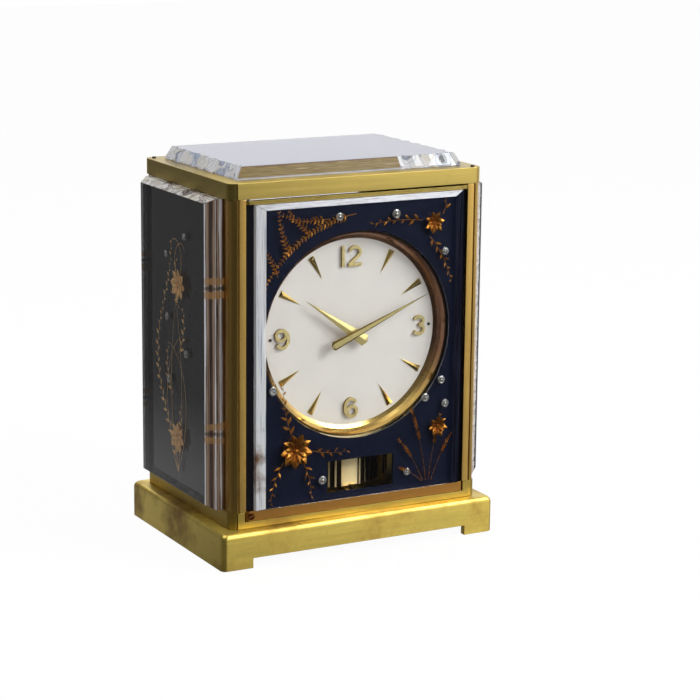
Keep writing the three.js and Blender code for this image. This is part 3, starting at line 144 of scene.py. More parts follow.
class Graph:
    """Adds nodes to a tree and links them."""

    def __init__(self, tree):
        self.tree = tree
        tree.nodes.clear()

    def add(self, kind, inputs=None, **settings):
        """A node with its settings and inputs; an input is a plain value or another node's socket."""
        made = self.tree.nodes.new(kind)
        for name, value in settings.items():
            setattr(made, name, value)
        self.fill(made, inputs or {})
        return made

    def out(self, kind, inputs=None, **settings):
        """The first output of a new node."""
        return self.add(kind, inputs, **settings).outputs[0]

    def fill(self, node, inputs):
        """Gives several inputs of a node their values or links."""
        for name, value in inputs.items():
            self.give(node.inputs[name], value)

    def give(self, socket, value):
        """Links a socket or sets its value; one number fills a vector, and three make a colour."""
        if isinstance(value, bpy.types.NodeSocket):
            self.tree.links.new(value, socket)
            return
        size = len(socket.default_value) if hasattr(socket.default_value, "__len__") else 0
        if size and isinstance(value, (int, float)):
            value = (value,) * size
        elif size == 4 and len(value) == 3:
            value = (*value, 1)
        socket.default_value = value

    def math(self, operation, first, second=0.0, clamp=False):
        """The result of a sum on one or two values."""
        return self.out("ShaderNodeMath", {0: first, 1: second}, operation=operation, use_clamp=clamp)

    def plus(self, first, second, clamp=False):
        """The sum of two values."""
        return self.math("ADD", first, second, clamp)

    def minus(self, first, second, clamp=False):
        """The first value less the second."""
        return self.math("SUBTRACT", first, second, clamp)

    def times(self, first, second):
        """The product of two values."""
        return self.math("MULTIPLY", first, second)

    def blend(self, share, first, second):
        """A colour between two others."""
        return self.add("ShaderNodeMix", {0: share, 6: first, 7: second}, data_type="RGBA").outputs[2]

    def mixed(self, share, first, second):
        """A value between two others."""
        return self.out("ShaderNodeMix", {0: share, 2: first, 3: second}, data_type="FLOAT")

    def between(self, value, low, high, to_low=0.0, to_high=1.0):
        """A value carried from one range to another and held inside it."""
        return self.out("ShaderNodeMapRange", {0: value, 1: low, 2: high, 3: to_low, 4: to_high})

    def noise(self, vector, scale, detail=2.0, roughness=0.5):
        """Cloudy noise from 0 to 1."""
        return self.out("ShaderNodeTexNoise", {
            "Vector": vector, "Scale": scale, "Detail": detail, "Roughness": roughness})

    def ramp(self, value, stops):
        """A colour read from a row of stops, each a place from 0 to 1 and a colour's levels on a screen."""
        made = self.add("ShaderNodeValToRGB", {0: value})
        elements = made.color_ramp.elements
        while len(elements) < len(stops):
            elements.new(1.0)
        for element, (place, colour) in zip(elements, stops):
            element.position = place
            element.color = (*srgb(*colour), 1)
        return made.outputs[0]

    def near(self, value, middle, half, soft):
        """1 where a value lies within half of a middle, falling to 0 over a soft edge."""
        away = self.math("ABSOLUTE", self.minus(value, middle))
        return self.between(away, half, half + soft, 1.0, 0.0)

    def own(self, output="Object"):
        """The piece's own coordinates in metres, or another kind of coordinates."""
        return self.add("ShaderNodeTexCoord").outputs[output]

    def axes(self, output="Object"):
        """X, Y and Z of such coordinates."""
        return self.add("ShaderNodeSeparateXYZ", {"Vector": self.own(output)}).outputs

    def place(self, scale=(1, 1, 1)):
        """The piece's own coordinates, stretched."""
        return self.out("ShaderNodeMapping", {"Vector": self.own(), "Scale": scale})

    def arrow(self, operation, first, second, output=0):
        """The result of a sum on vectors."""
        return self.add("ShaderNodeVectorMath", {0: first, 1: second}, operation=operation).outputs[output]

    def bump(self, height, strength, distance):
        """A normal that follows small relief."""
        return self.out("ShaderNodeBump", {"Strength": strength, "Distance": distance, "Height": height})

    def group(self, name, inputs=None):
        """The outputs of one of the shared node groups."""
        made = self.add("ShaderNodeGroup")
        made.node_tree = bpy.data.node_groups[name]
        self.fill(made, inputs or {})
        return made.outputs


class ShapeGraph(Graph):
    """Adds geometry nodes to a tree."""

    def random(self, low, high, seed):
        """A random number for each point, the same in every run."""
        return self.add("FunctionNodeRandomValue", {2: low, 3: high, 8: seed}).outputs[1]

    def turn(self, x=0.0, y=0.0, z=0.0):
        """A rotation from three angles."""
        angles = self.out("ShaderNodeCombineXYZ", {0: x, 1: y, 2: z})
        return self.out("FunctionNodeEulerToRotation", {0: angles})

    def facing(self, vector, turn):
        """A rotation that points X along a vector in the design's flat, then turns on its own axes."""
        aimed = self.out("FunctionNodeAlignRotationToVector", {"Vector": vector}, axis="X", pivot_axis="Z")
        return self.out("FunctionNodeRotateRotation", {0: aimed, 1: turn}, rotation_space="LOCAL")

    def shape_of(self, part):
        """The mesh of an object that is given as an input."""
        return self.add("GeometryNodeObjectInfo", {0: part}).outputs["Geometry"]

    def set_on(self, points, part, turn, size, chosen=True):
        """A part set on each chosen point."""
        return self.out("GeometryNodeInstanceOnPoints", {
            "Points": points, "Instance": part, "Rotation": turn, "Scale": size, "Selection": chosen})

    def moved(self, shape, lift, turn=(0, 0, 0)):
        """A shape lifted along Z and turned."""
        return self.out("GeometryNodeTransform", {"Geometry": shape, "Translation": (0, 0, lift),
                                                  "Rotation": turn})

    def join(self, parts):
        """Several shapes as one."""
        joined = self.add("GeometryNodeJoinGeometry")
        for part in parts:
            self.tree.links.new(part, joined.inputs[0])
        return joined.outputs[0]

    def close(self, shape, material, result):
        """Ends the tree with real faces in one material."""
        real = self.out("GeometryNodeRealizeInstances", {0: shape})
        self.give(result[0], self.out("GeometryNodeSetMaterial", {0: real, 2: material}))


def new_group(name, inputs, outputs, kind="ShaderNodeTree"):
    """A node group's graph, its given values and its results; inputs and outputs are rows of name, kind and
    default."""
    tree = bpy.data.node_groups.new(name, kind)
    for way, rows in (("INPUT", inputs), ("OUTPUT", outputs)):
        for label, type_name, default in rows:
            socket = tree.interface.new_socket(label, in_out=way, socket_type="NodeSocket" + type_name)
            if default is not None:
                socket.default_value = default
    graph = Graph(tree) if kind == "ShaderNodeTree" else ShapeGraph(tree)
    return graph, graph.add("NodeGroupInput").outputs, graph.add("NodeGroupOutput").inputs


def new_mask_group(name, inputs, *outputs):
    """A shader group that takes a vector and named numbers, and gives named numbers."""
    rows = [("Vector", "Vector", None), *((label, "Float", default) for label, default in inputs.items())]
    return new_group(name, rows, [(label, "Float", None) for label in outputs])


def build_grain_group():
    """Brushed grain: fine lines along one direction, broken by longer streaks."""
    inputs = {"Pitch": 2600.0, "Contrast": 0.5}
    graph, given, result = new_mask_group("brushed_grain", inputs, "Height", "Shade")
    fine = graph.noise(given["Vector"], given["Pitch"], 3.0, 0.65)
    long = graph.noise(given["Vector"], graph.times(given["Pitch"], 0.13), 2.0)
    both = graph.plus(graph.times(fine, 0.6), graph.times(long, 0.4))
    graph.give(result["Height"], fine)
    graph.give(result["Shade"], graph.times(graph.minus(both, 0.5), given["Contrast"]))


def build_bloom_group():
    """Old brass: brown clouds with small darker spots, more of them where the noise is high."""
    graph, given, result = new_mask_group("old_bloom", {"Amount": 0.5, "Size": 28.0}, "Mask", "Spots")
    clouds = graph.noise(given["Vector"], given["Size"], 6.0, 0.62)
    edge = graph.minus(0.78, graph.times(given["Amount"], 0.3))
    graph.give(result["Mask"], graph.between(clouds, edge, graph.plus(edge, 0.22)))
    specks = graph.noise(given["Vector"], graph.times(given["Size"], 16.0), 2.0)
    graph.give(result["Spots"], graph.between(specks, 0.68, 0.76))


def build_smudge_group():
    """Handling marks: faint uneven patches that change how rough a polished surface is."""
    graph, given, result = new_mask_group("handling_marks", {"Roughness": 0.1, "Spread": 0.05}, "Roughness")
    patches = graph.noise(given["Vector"], 45.0, 5.0, 0.6)
    spread = graph.times(graph.minus(patches, 0.5), given["Spread"])
    graph.give(result["Roughness"], graph.plus(given["Roughness"], spread, True))


def build_streak_group():
    """Cut edge of a clear slab: long streaks along one way, and clouds that gather on them in patches."""
    inputs = {"Across": 900.0, "Cloud Size": 60.0}
    graph, given, result = new_mask_group("cut_streaks", inputs, "Tone", "Clouds")
    broad = graph.noise(given["Vector"], given["Across"], 2.0, 0.6)
    narrow = graph.noise(given["Vector"], graph.times(given["Across"], 3.1), 2.0)
    tone = graph.plus(graph.times(broad, 0.65), graph.times(narrow, 0.35))
    graph.give(result["Tone"], graph.between(tone, 0.3, 0.7))
    clouds = graph.noise(graph.own(), given["Cloud Size"], 4.0, 0.65)
    graph.give(result["Clouds"], graph.between(clouds, 0.4, 0.65))


def build_flake_group():
    """Hewn acrylic: shell-shaped flakes, each with a tone of painted light and shade, parted by thin dark
    lines of painted shade.
    """
    inputs = {"Size": 130.0, "Bend": 0.006}
    graph, given, result = new_mask_group("hewn_flakes", inputs, "Tone", "Line", "Height")
    spread = {"Vector": given["Vector"], "Scale": 90.0, "Detail": 2.0}
    cloud = graph.add("ShaderNodeTexNoise", spread).outputs[1]
    push = graph.out("ShaderNodeVectorMath", {0: cloud, "Scale": given["Bend"]}, operation="SCALE")
    where = {"Vector": graph.arrow("ADD", given["Vector"], push), "Scale": given["Size"]}
    cells = graph.add("ShaderNodeTexVoronoi", where).outputs
    ripple = graph.math("SINE", graph.times(cells["Distance"], 26.0))
    shade = graph.plus(graph.out("ShaderNodeSeparateColor", {0: cells["Color"]}), graph.times(ripple, 0.07))
    bowl = graph.times(graph.minus(cells["Distance"], 0.4), 0.5)
    graph.give(result["Tone"], graph.plus(shade, bowl, True))
    edge = graph.add("ShaderNodeTexVoronoi", where, feature="DISTANCE_TO_EDGE").outputs["Distance"]
    kept = graph.between(graph.noise(given["Vector"], 260.0, 2.0), 0.46, 0.56)
    graph.give(result["Line"], graph.times(graph.between(edge, 0.02, 0.07, 1.0, 0.0), kept))
    graph.give(result["Height"], graph.plus(cells["Distance"], graph.times(ripple, 0.05)))


def new_material(name, transparent=False):
    """A material, its graph and its Principled shader; lamps shine through a transparent one."""
    made = bpy.data.materials.new(name)
    made.use_nodes = True
    graph = Graph(made.node_tree)
    shader = graph.add("ShaderNodeBsdfPrincipled")
    surface = shader.outputs[0]
    if transparent:
        shadow = graph.add("ShaderNodeLightPath").outputs["Is Shadow Ray"]
        clear = graph.out("ShaderNodeBsdfTransparent", {"Color": (0.94, 0.95, 0.96)})
        surface = graph.out("ShaderNodeMixShader", {0: shadow, 1: surface, 2: clear})
    graph.add("ShaderNodeOutputMaterial", {"Surface": surface})
    return made, graph, shader


def brushed_metal(name, colour, stretch, roughness, stain_and_painted_reflection=None, amount=0.0, contrast=0.3):
    """Brushed metal: grain runs along the axes that stretch makes long; stain clouds its colour."""
    made, graph, shader = new_material(name)
    grain = graph.group("brushed_grain", {"Vector": graph.place(stretch), "Contrast": contrast})
    shade = grain["Shade"]
    bright = graph.out("ShaderNodeHueSaturation", {"Value": graph.plus(1.0, shade), "Color": colour})
    rough = graph.plus(roughness, graph.times(shade, 0.5))
    if stain_and_painted_reflection:
        bloom = graph.group("old_bloom", {"Vector": graph.place(), "Amount": amount})
        mask = graph.times(bloom["Mask"], 0.75)
        spots = graph.times(bloom["Spots"], 0.5)
        cover = graph.math("MAXIMUM", mask, graph.times(spots, amount))
        bright = graph.blend(cover, bright, stain_and_painted_reflection)
        rough = graph.plus(rough, graph.times(cover, 0.18), True)
    graph.fill(shader, {
        "Base Color": bright, "Roughness": rough, "Normal": graph.bump(grain["Height"], 0.04, 0.0002),
        "Metallic": 1.0, "Anisotropic": 0.8, "Anisotropic Rotation": 0.25})
    return made


def smooth_finish(name, colour, roughness, spread, drift, constants):
    """A smooth surface with handling marks; drift is the size, detail and depth of its clouds of colour."""
    made, graph, shader = new_material(name)
    vector = graph.place()
    scale, detail, change = drift
    marks = graph.group("handling_marks", {"Vector": vector, "Roughness": roughness, "Spread": spread})
    value = graph.between(graph.noise(vector, scale, detail), 0.3, 0.7, 1.0 - change, 1.0 + change)
    graph.fill(shader, {
        "Base Color": graph.out("ShaderNodeHueSaturation", {"Value": value, "Color": colour}),
        "Roughness": marks["Roughness"], **constants})
    return made


def polished_metal(name, colour, roughness):
    """Polished or lacquered metal."""
    return smooth_finish(name, colour, roughness, 0.08, (120.0, 3.0, 0.06), {"Metallic": 1.0})


def painted(name, colour, roughness, shine=0.5):
    """Smooth paint or lacquer."""
    return smooth_finish(name, colour, roughness, 0.06, (60.0, 4.0, 0.03), {"Specular IOR Level": shine})


def gilt_with_painted_shade(name, gold, brown, low, high, roughness, hub=None, metallic=1.0):
    """Polished gilt with painted shade: clean below one height and darkened brown above another, or by
    distance from a hub's axis.
    """
    made, graph, shader = new_material(name)
    vector = graph.place()
    marks = graph.group("handling_marks", {"Vector": vector, "Roughness": roughness, "Spread": 0.03})
    clouds = graph.times(graph.minus(graph.noise(vector, 40.0, 3.0), 0.5), high - low)
    measure = graph.axes()[2]
    if hub:
        flat = graph.arrow("MULTIPLY", graph.arrow("SUBTRACT", vector, hub), (1, 0, 1))
        measure = graph.arrow("LENGTH", flat, 0.0, "Value")
    # Painted shade: brown blended in between the low and the high height or distance.
    share = graph.between(graph.plus(measure, clouds), low, high)
    graph.fill(shader, {"Base Color": graph.blend(share, gold, brown), "Roughness": marks["Roughness"],
                        "Metallic": metallic})
    return made


def patinated_metal(name, colour, shadow, roughness, metallic=1.0):
    """Worked metal of the ornaments: darkened in patches."""
    made, graph, shader = new_material(name)
    vector = graph.place()
    patches = graph.between(graph.noise(vector, 520.0, 4.0, 0.65), 0.42, 0.68)
    fine = graph.noise(vector, 3400.0, 2.0)
    graph.fill(shader, {
        "Base Color": graph.blend(graph.times(patches, 0.7), colour, shadow),
        "Roughness": graph.plus(roughness, graph.times(patches, 0.2)),
        "Normal": graph.bump(fine, 0.25, 0.0002), "Metallic": metallic})
    return made


def clear_acrylic(name, refraction):
    """Clear acrylic with faint scratches."""
    made, graph, shader = new_material(name, transparent=True)
    marks = graph.group("handling_marks", {"Vector": graph.place(), "Roughness": 0.0, "Spread": 0.02})
    graph.fill(shader, {"Roughness": marks["Roughness"], "Base Color": (0.97, 0.98, 0.99),
                        "Transmission Weight": 1.0, "IOR": refraction})
    return made


def hewn_acrylic(name, refraction, stops, size):
    """Hewn edge of an acrylic slab: bright, cloudy flakes of which some let light through, their tones and
    the dark lines between them painted light and shade.
    """
    made, graph, shader = new_material(name, transparent=True)
    flakes = graph.group("hewn_flakes", {"Vector": graph.place(), "Size": size})
    colour = graph.ramp(flakes["Tone"], stops)
    # Thin dark lines of painted shade between the flakes.
    lined = graph.blend(graph.times(flakes["Line"], 0.6), colour, (0.08, 0.08, 0.09))
    graph.fill(shader, {"Base Color": lined, "Normal": graph.bump(flakes["Height"], 0.4, 0.0012),
                        "Roughness": 0.14, "Transmission Weight": 0.35, "IOR": refraction})
    return made


def cut_bevel(name, refraction, stretch, stops, through, stain_and_painted_reflection=None, bands=(), across=None, shine=0.5):
    """Bevel of an acrylic slab with painted refraction and reflection: streaks along it, where the slab's
    inside shows drawn out.

    Bands are cross streaks of painted reflection, each with its height in metres, its half width and its
    colour. The stain argument is a patch of painted reflection between two heights, and its colour. Across
    gives an axis, a middle on it and the distances from it between which the stops lie, in place of chance
    alone. Colours are levels on a screen.
    """
    made, graph, shader = new_material(name, transparent=True)
    streaks = graph.group("cut_streaks", {"Vector": graph.place(stretch)})
    tone, clouds = streaks["Tone"], streaks["Clouds"]
    if across:
        axis, middle, start, end = across
        away = graph.math("ABSOLUTE", graph.minus(graph.axes()[axis], middle))
        drift = graph.times(graph.minus(tone, 0.5), 0.3)
        tone = graph.plus(graph.between(away, start, end), drift)
    colour = graph.ramp(tone, stops)
    # A patch of painted reflection between two heights.
    if stain_and_painted_reflection:
        low, high, brown = stain_and_painted_reflection
        reach = graph.near(graph.axes()[2], (low + high) / 2, (high - low) / 2, 0.004)
        colour = graph.blend(graph.times(reach, clouds), colour, srgb(*brown))
    band_cover = graph.between(clouds, 0.0, 1.0, 0.85, 0.4)
    # Cross bands of painted reflection, such as brass collars seen through the slab.
    for place, half, band_colour in bands:
        height = graph.plus(graph.axes()[2], graph.times(graph.minus(clouds, 0.5), 0.0012))
        reach = graph.times(graph.near(height, place, half, 0.0006), band_cover)
        colour = graph.blend(reach, colour, srgb(*band_colour))
    graph.fill(shader, {
        "Base Color": colour, "Normal": graph.bump(streaks["Tone"], 0.15, 0.0004), "Roughness": 0.1,
        "Specular IOR Level": shine, "Transmission Weight": through, "IOR": refraction})
    return made


def dress(names, material):
    """Gives CAD pieces a material."""
    for name in names:
        mesh = frame["nodes"][name].data
        mesh.materials.clear()
        mesh.materials.append(material)


def paint_piece(piece, slot, *materials):
    """Gives a made piece its materials, by the numbers on its faces; the slot argument is not used."""
    indices = [face.material_index for face in piece.data.polygons]
    piece.data.materials.clear()
    for material in materials:
        piece.data.materials.append(material)
    piece.data.polygons.foreach_set("material_index", indices)


def body_of(node):
    """The body that a CAD piece rides on."""
    for body, members in frame["record"]["behaviour"]["bodies"].items():
        if node in members:
            return body
    raise ValueError(f"{node} is in no body")


def box_in_mm(node):
    """The lowest and the highest corner of a CAD piece's box, in mm."""
    return [Vector(corner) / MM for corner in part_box(node)]


def new_object(name, data):
    """An object in the scene that shows a mesh, a camera or a lamp."""
    made = bpy.data.objects.new(name, data)
    bpy.context.scene.collection.objects.link(made)
    return made


def corners(shape, points):
    """New corners of a shape, one for each point."""
    return [shape.verts.new(point) for point in points]


def wall(shape, low, high):
    """Faces all round between two rings of corners, of which one may be a single corner."""
    faces = []
    for step in range(max(len(low), len(high))):
        around = [ring[place % len(ring)] for ring, place in (
            (low, step), (low, step + 1), (high, step + 1), (high, step))]
        faces.append(shape.faces.new(list(dict.fromkeys(around))))
    return faces


def spokes(count):
    """The directions of evenly spread spokes, each as its cosine and sine."""
    turns = [math.tau * step / count for step in range(count)]
    return [(math.cos(turn), math.sin(turn)) for turn in turns]


def axes_at(right, up, out, origin):
    """A matrix with the given axes at an origin."""
    return Matrix.Translation(origin) @ Matrix((right, up, out)).transposed().to_4x4()


def refined(node, width, segments=2, angle=28, cuts=(), rule=None):
    """A copy of a CAD piece with its edges rounded, which then stands for it.

    Cuts are planes, each a point and a normal, that part its faces. The rule gives a face's material number
    from its middle, in mm, and its normal.
    """
    shape = bmesh.new()
    shape.from_mesh(frame["nodes"][node].data)
    bmesh.ops.remove_doubles(shape, verts=shape.verts, dist=SAME_PLACE)
    bmesh.ops.dissolve_limit(shape, angle_limit=SAME_FLAT, verts=shape.verts, edges=shape.edges)
    for point, normal in cuts:
        parts = [*shape.verts, *shape.edges, *shape.faces]
        bmesh.ops.bisect_plane(shape, geom=parts, plane_co=point, plane_no=normal)
    if rule:
        shape.normal_update()
        for face in shape.faces:
            face.material_index = rule(face.calc_center_median() / MM, face.normal)
    if width:
        edges = [edge for edge in shape.edges
                 if len(edge.link_faces) == 2 and edge.calc_face_angle(0) > math.radians(angle)]
        bmesh.ops.bevel(shape, geom=edges, offset=width, segments=segments, profile=0.5, affect="EDGES",
                        clamp_overlap=True)
    return settled(shape, node, angle)


def settled(shape, node, angle=28):
    """A built shape as the piece that stands for a CAD piece, with flat faces kept flat in its shading."""
    mesh = bpy.data.meshes.new(node + "_finished")
    shape.to_mesh(mesh)
    shape.free()
    mesh.shade_smooth()
    mesh.set_sharp_from_angle(angle=math.radians(angle))
    piece = new_object(mesh.name, mesh)
    evening = piece.modifiers.new("flat faces", "WEIGHTED_NORMAL")
    evening.keep_sharp = True
    evening.weight = 90
    evened = piece.evaluated_get(bpy.context.evaluated_depsgraph_get())
    piece.data = bpy.data.meshes.new_from_object(evened)
    piece.modifiers.remove(evening)
    bpy.data.meshes.remove(mesh)
    piece.data.name = piece.name
    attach(piece, body_of(node))
    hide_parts(node)
    return piece


def rounded_bezel():
    """The bezel, turned about the dial's middle, with its inner side a shallow slope and a steep lip."""
    low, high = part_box("bezel")
    middle = (low + high) / 2
    inner, rim, lip = 56.7 * MM, high.x - middle.x, 1.2 * MM
    depth = high.y - low.y
    slope = [(0, 0), (0.25, 0.09), (0.5, 0.19), (0.74, 0.3), (0.83, 0.4), (0.9, 0.56), (0.96, 0.84), (1, 1)]
    profile = [(inner + (rim - lip - inner) * out, high.y - depth * forward) for out, forward in slope]
    profile += [(rim, low.y), (rim, low.y + lip), (inner + lip, high.y)]
    shape = bmesh.new()
    rings = [corners(shape, [(middle.x + radius * x, y, middle.z + radius * z) for x, z in spokes(144)])
             for radius, y in profile]
    for ring, following in zip(rings, rings[1:] + rings[:1]):
        wall(shape, ring, following)
    bmesh.ops.recalc_face_normals(shape, faces=shape.faces)
    return settled(shape, "bezel")


def ribbed_pendulum(groups, ribs, pitch, phase):
    """The pendulum's drum with groups of upright ribs between plain panels, its dish and its hub.

    Pitch and phase are in degrees; phase is where the first group's middle lies.
    """
    low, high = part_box("pendulum")
    middle = (low + high) / 2
    crest, rib_height, half_foot, half_crest = high.x - middle.x, 0.9 * MM, 1.15, 0.75
    hub_radius, hub_height, rim_width, dish_depth = 5 * MM, 5 * MM, 9 * MM, 2 * MM
    valley, top = crest - rib_height, high.z - hub_height
    outline = []
    for group in range(groups):
        start = phase + group * 360 / groups
        for rib in range(ribs):
            place = start + (rib - (ribs - 1) / 2) * pitch
            outline += [(place - half_foot, valley), (place - half_crest, crest),
                        (place + half_crest, crest), (place + half_foot, valley)]
        gap = 360 / groups - (ribs - 1) * pitch
        for share in (0.25, 0.5, 0.75):
            outline.append((start + (ribs - 1) / 2 * pitch + gap * share, valley))
    shape = bmesh.new()

    def ring(height, row):
        return corners(shape, [(middle.x + radius * math.cos(math.radians(angle)),
                                middle.y + radius * math.sin(math.radians(angle)), height)
                               for angle, radius in row])

    dish = [(angle, crest - rim_width) for angle, radius in outline]
    hub = [(360 * step / 32, hub_radius) for step in range(32)]
    rows = [ring(low.z, outline), ring(top, outline), ring(top, dish), ring(top - dish_depth, dish)]
    # Flanks of the ribs and the valleys between them take the second material, a painted shade.
    for step, face in enumerate(wall(shape, rows[0], rows[1])):
        part = step % (len(outline) // groups)
        if part < 4 * ribs - 1 and part % 4 != 1:
            face.material_index = 1
    for lower, upper in zip(rows[1:], rows[2:]):
        wall(shape, lower, upper)
    shape.faces.new(rows[0][::-1])
    shape.faces.new(rows[-1])
    hub_rows = [ring(low.z + hub_height, hub), ring(high.z, hub)]
    wall(shape, *hub_rows)
    shape.faces.new(hub_rows[0][::-1])
    shape.faces.new(hub_rows[1])
    bmesh.ops.recalc_face_normals(shape, faces=shape.faces)
    return settled(shape, "pendulum", 24)


def new_shape_tree(name, inputs):
    """A geometry tree that takes a shape, the inputs and a material, and gives a shape."""
    rows = [("Geometry", "Geometry", None), *inputs, ("Material", "Material", None)]
    return new_group(name, rows, [("Geometry", "Geometry", None)], "GeometryNodeTree")


def build_sprig_tree():
    """Leafy sprigs: a tapering wire along each stem, with leaves that shrink towards its tip."""
    graph, given, result = new_shape_tree("leafy_sprig", [
        ("Leaf", "Object", None), ("Spacing", "Float", 2.6 * MM), ("Leaf Size", "Float", 1.0),
        ("Lean", "Float", 0.8), ("Wire", "Float", 0.22 * MM), ("Bare", "Float", 0.08),
        ("Pairs", "Bool", False), ("Seed", "Int", 1)])
    seed = given["Seed"]
    curve = graph.out("GeometryNodeMeshToCurve", {0: given["Geometry"]})
    smooth = graph.out("GeometryNodeCurveSplineType", {0: curve}, spline_type="CATMULL_ROM")
    along = graph.add("GeometryNodeSplineParameter").outputs["Factor"]
    taper = graph.minus(1.0, graph.times(along, 0.6))
    stems = graph.out("GeometryNodeSetCurveRadius", {"Curve": smooth, "Radius": taper})
    radius = graph.out("GeometryNodeInputRadius")
    fine = graph.out("GeometryNodeResampleCurve", {"Curve": stems, "Length": 0.7 * MM}, mode="LENGTH")
    ring = graph.out("GeometryNodeCurvePrimitiveCircle", {"Resolution": 6, "Radius": given["Wire"]})
    wire = graph.out("GeometryNodeCurveToMesh", {0: fine, 1: ring, "Scale": radius, "Fill Caps": True})
    spots = graph.add("GeometryNodeCurveToPoints", {"Curve": stems, "Length": given["Spacing"]},
                      mode="LENGTH").outputs
    order = graph.out("GeometryNodeInputIndex")
    side = graph.minus(1.0, graph.times(graph.math("MODULO", order, 2.0), 2.0))
    leafy = graph.math("LESS_THAN", radius, graph.minus(1.0, graph.times(given["Bare"], 0.6)))
    size = graph.times(graph.times(radius, given["Leaf Size"]), graph.random(0.8, 1.15, seed))
    leaf = graph.shape_of(given["Leaf"])
    parts = [wire]
    for way, chosen in ((side, leafy), (graph.times(side, -1.0), graph.times(leafy, given["Pairs"]))):
        lean = graph.plus(graph.times(given["Lean"], way), graph.random(-0.16, 0.16, seed))
        roll = graph.times(way, graph.random(0.1, 0.6, seed))
        turn = graph.facing(spots["Tangent"], graph.turn(roll, graph.random(-0.3, 0.05, seed), lean))
        parts.append(graph.set_on(spots["Points"], leaf, turn, size, chosen))
    graph.close(graph.join(parts), given["Material"], result)


def build_blossom_tree():
    """Blossoms: two rings of petals and a heart of beads on each point."""
    graph, given, result = new_shape_tree("blossom", [
        ("Petal", "Object", None), ("Bead", "Object", None), ("Petals", "Int", 8), ("Size", "Float", 1.0),
        ("Cup", "Float", 0.35), ("Seed", "Int", 1)])
    seed = given["Seed"]
    petal = graph.shape_of(given["Petal"])
    bead = graph.shape_of(given["Bead"])
    outward = graph.out("GeometryNodeInputPosition")
    parts = []
    for share, lift, steepness, shift in ((1.0, 0.0, 1.0, 0.0), (0.68, 0.5 * MM, 1.9, math.pi)):
        ring = graph.out("GeometryNodeMeshCircle", {"Vertices": given["Petals"], "Radius": 1.1 * MM})
        tilt = graph.plus(graph.times(given["Cup"], -steepness), graph.random(-0.12, 0.12, seed))
        roll, lean = graph.random(-0.2, 0.2, seed), graph.random(-0.1, 0.1, seed)
        petals = graph.set_on(ring, petal, graph.facing(outward, graph.turn(roll, tilt, lean)), share)
        half_step = graph.turn(z=graph.math("DIVIDE", shift, given["Petals"]))
        parts.append(graph.moved(petals, lift, half_step))
    for count, radius, lift, share in ((7, 0.95 * MM, 0.8 * MM, 0.34), (3, 0.2 * MM, 1.1 * MM, 0.4)):
        ring = graph.out("GeometryNodeMeshCircle", {"Vertices": count, "Radius": radius})
        parts.append(graph.moved(graph.set_on(ring, bead, (0, 0, 0), share), lift))
    any_way = graph.turn(z=graph.random(0.0, 6.28, seed))
    placed = graph.set_on(given["Geometry"], graph.join(parts), any_way, given["Size"])
    graph.close(placed, given["Material"], result)


def build_placing_tree():
    """Small parts such as beads and screws, one on each point."""
    graph, given, result = new_shape_tree("placed_parts", [
        ("Part", "Object", None), ("Size", "Float", 1.0), ("Size Spread", "Float", 0.0),
        ("Turn Spread", "Float", 0.0), ("Seed", "Int", 1)])
    seed = given["Seed"]
    drift = graph.times(given["Size Spread"], graph.random(-1.0, 1.0, seed))
    size = graph.times(given["Size"], graph.plus(1.0, drift))
    turn = graph.turn(z=graph.times(given["Turn Spread"], graph.random(-1.0, 1.0, seed)))
    placed = graph.set_on(given["Geometry"], graph.shape_of(given["Part"]), turn, size)
    graph.close(placed, given["Material"], result)


def part_object(name, shape):
    """A small part as a helper object, for a geometry tree to repeat."""
    bmesh.ops.recalc_face_normals(shape, faces=shape.faces)
    mesh = bpy.data.meshes.new(name)
    shape.to_mesh(mesh)
    shape.free()
    return new_object(name, mesh)


def leaf_part(name, length, width, rise, widest=0.8, rows=6):
    """A pointed leaf or petal along X, with a raised midrib; rise lifts its tip."""
    shape = bmesh.new()
    base = shape.verts.new((0, 0, 0))
    rings = []
    for row in range(1, rows):
        share = row / rows
        half = width / 2 * math.sin(math.pi * share ** widest)
        rib = half * 0.35 + 0.12 * MM
        section = [(half, 0), (0, rib), (-half, 0), (0, rib * 0.35 - 0.2 * MM)]
        rings.append(corners(shape, [(length * share, y, rise * share * share + z) for y, z in section]))
    tip = shape.verts.new((length, 0, rise))
    for corner in range(4):
        after = (corner + 1) % 4
        shape.faces.new((base, rings[0][after], rings[0][corner]))
        shape.faces.new((tip, rings[-1][corner], rings[-1][after]))
        for low, high in zip(rings, rings[1:]):
            shape.faces.new((low[corner], low[after], high[after], high[corner]))
    return part_object(name, shape)


def turned_part(name, profile, segments):
    """A part turned about Z from rows of radius and height in mm; it is closed at both ends."""
    shape = bmesh.new()
    rings = [corners(shape, [(radius * MM * x, radius * MM * y, height * MM)
                             for x, y in spokes(segments if radius else 1)]) for radius, height in profile]
    for low, high in zip(rings, rings[1:]):
        wall(shape, low, high)
    return part_object(name, shape)


def prism(shape, outline, low, high):
    """Adds a closed prism between two heights to a shape; the outline runs anticlockwise."""
    lower, upper = (corners(shape, [(x, y, height) for x, y in outline]) for height in (low, high))
    shape.faces.new(lower[::-1])
    shape.faces.new(upper)
    wall(shape, lower, upper)


def screw_part(name, radius, height, slot_width, slot_depth):
    """A round screw head with a slot, its underside at the origin and facing up Z."""
    shape = bmesh.new()
    segments, steps = 20, 9
    prism(shape, [(radius * x, radius * y) for x, y in spokes(segments)], 0, height - slot_depth)
    edge = math.asin(slot_width / 2 / radius)
    for turn in (0, math.pi):
        arc = [turn + edge + (math.pi - 2 * edge) * step / steps for step in range(steps + 1)]
        lip = [(radius * math.cos(angle), radius * math.sin(angle)) for angle in arc]
        prism(shape, lip, height - slot_depth, height)
    return part_object(name, shape)


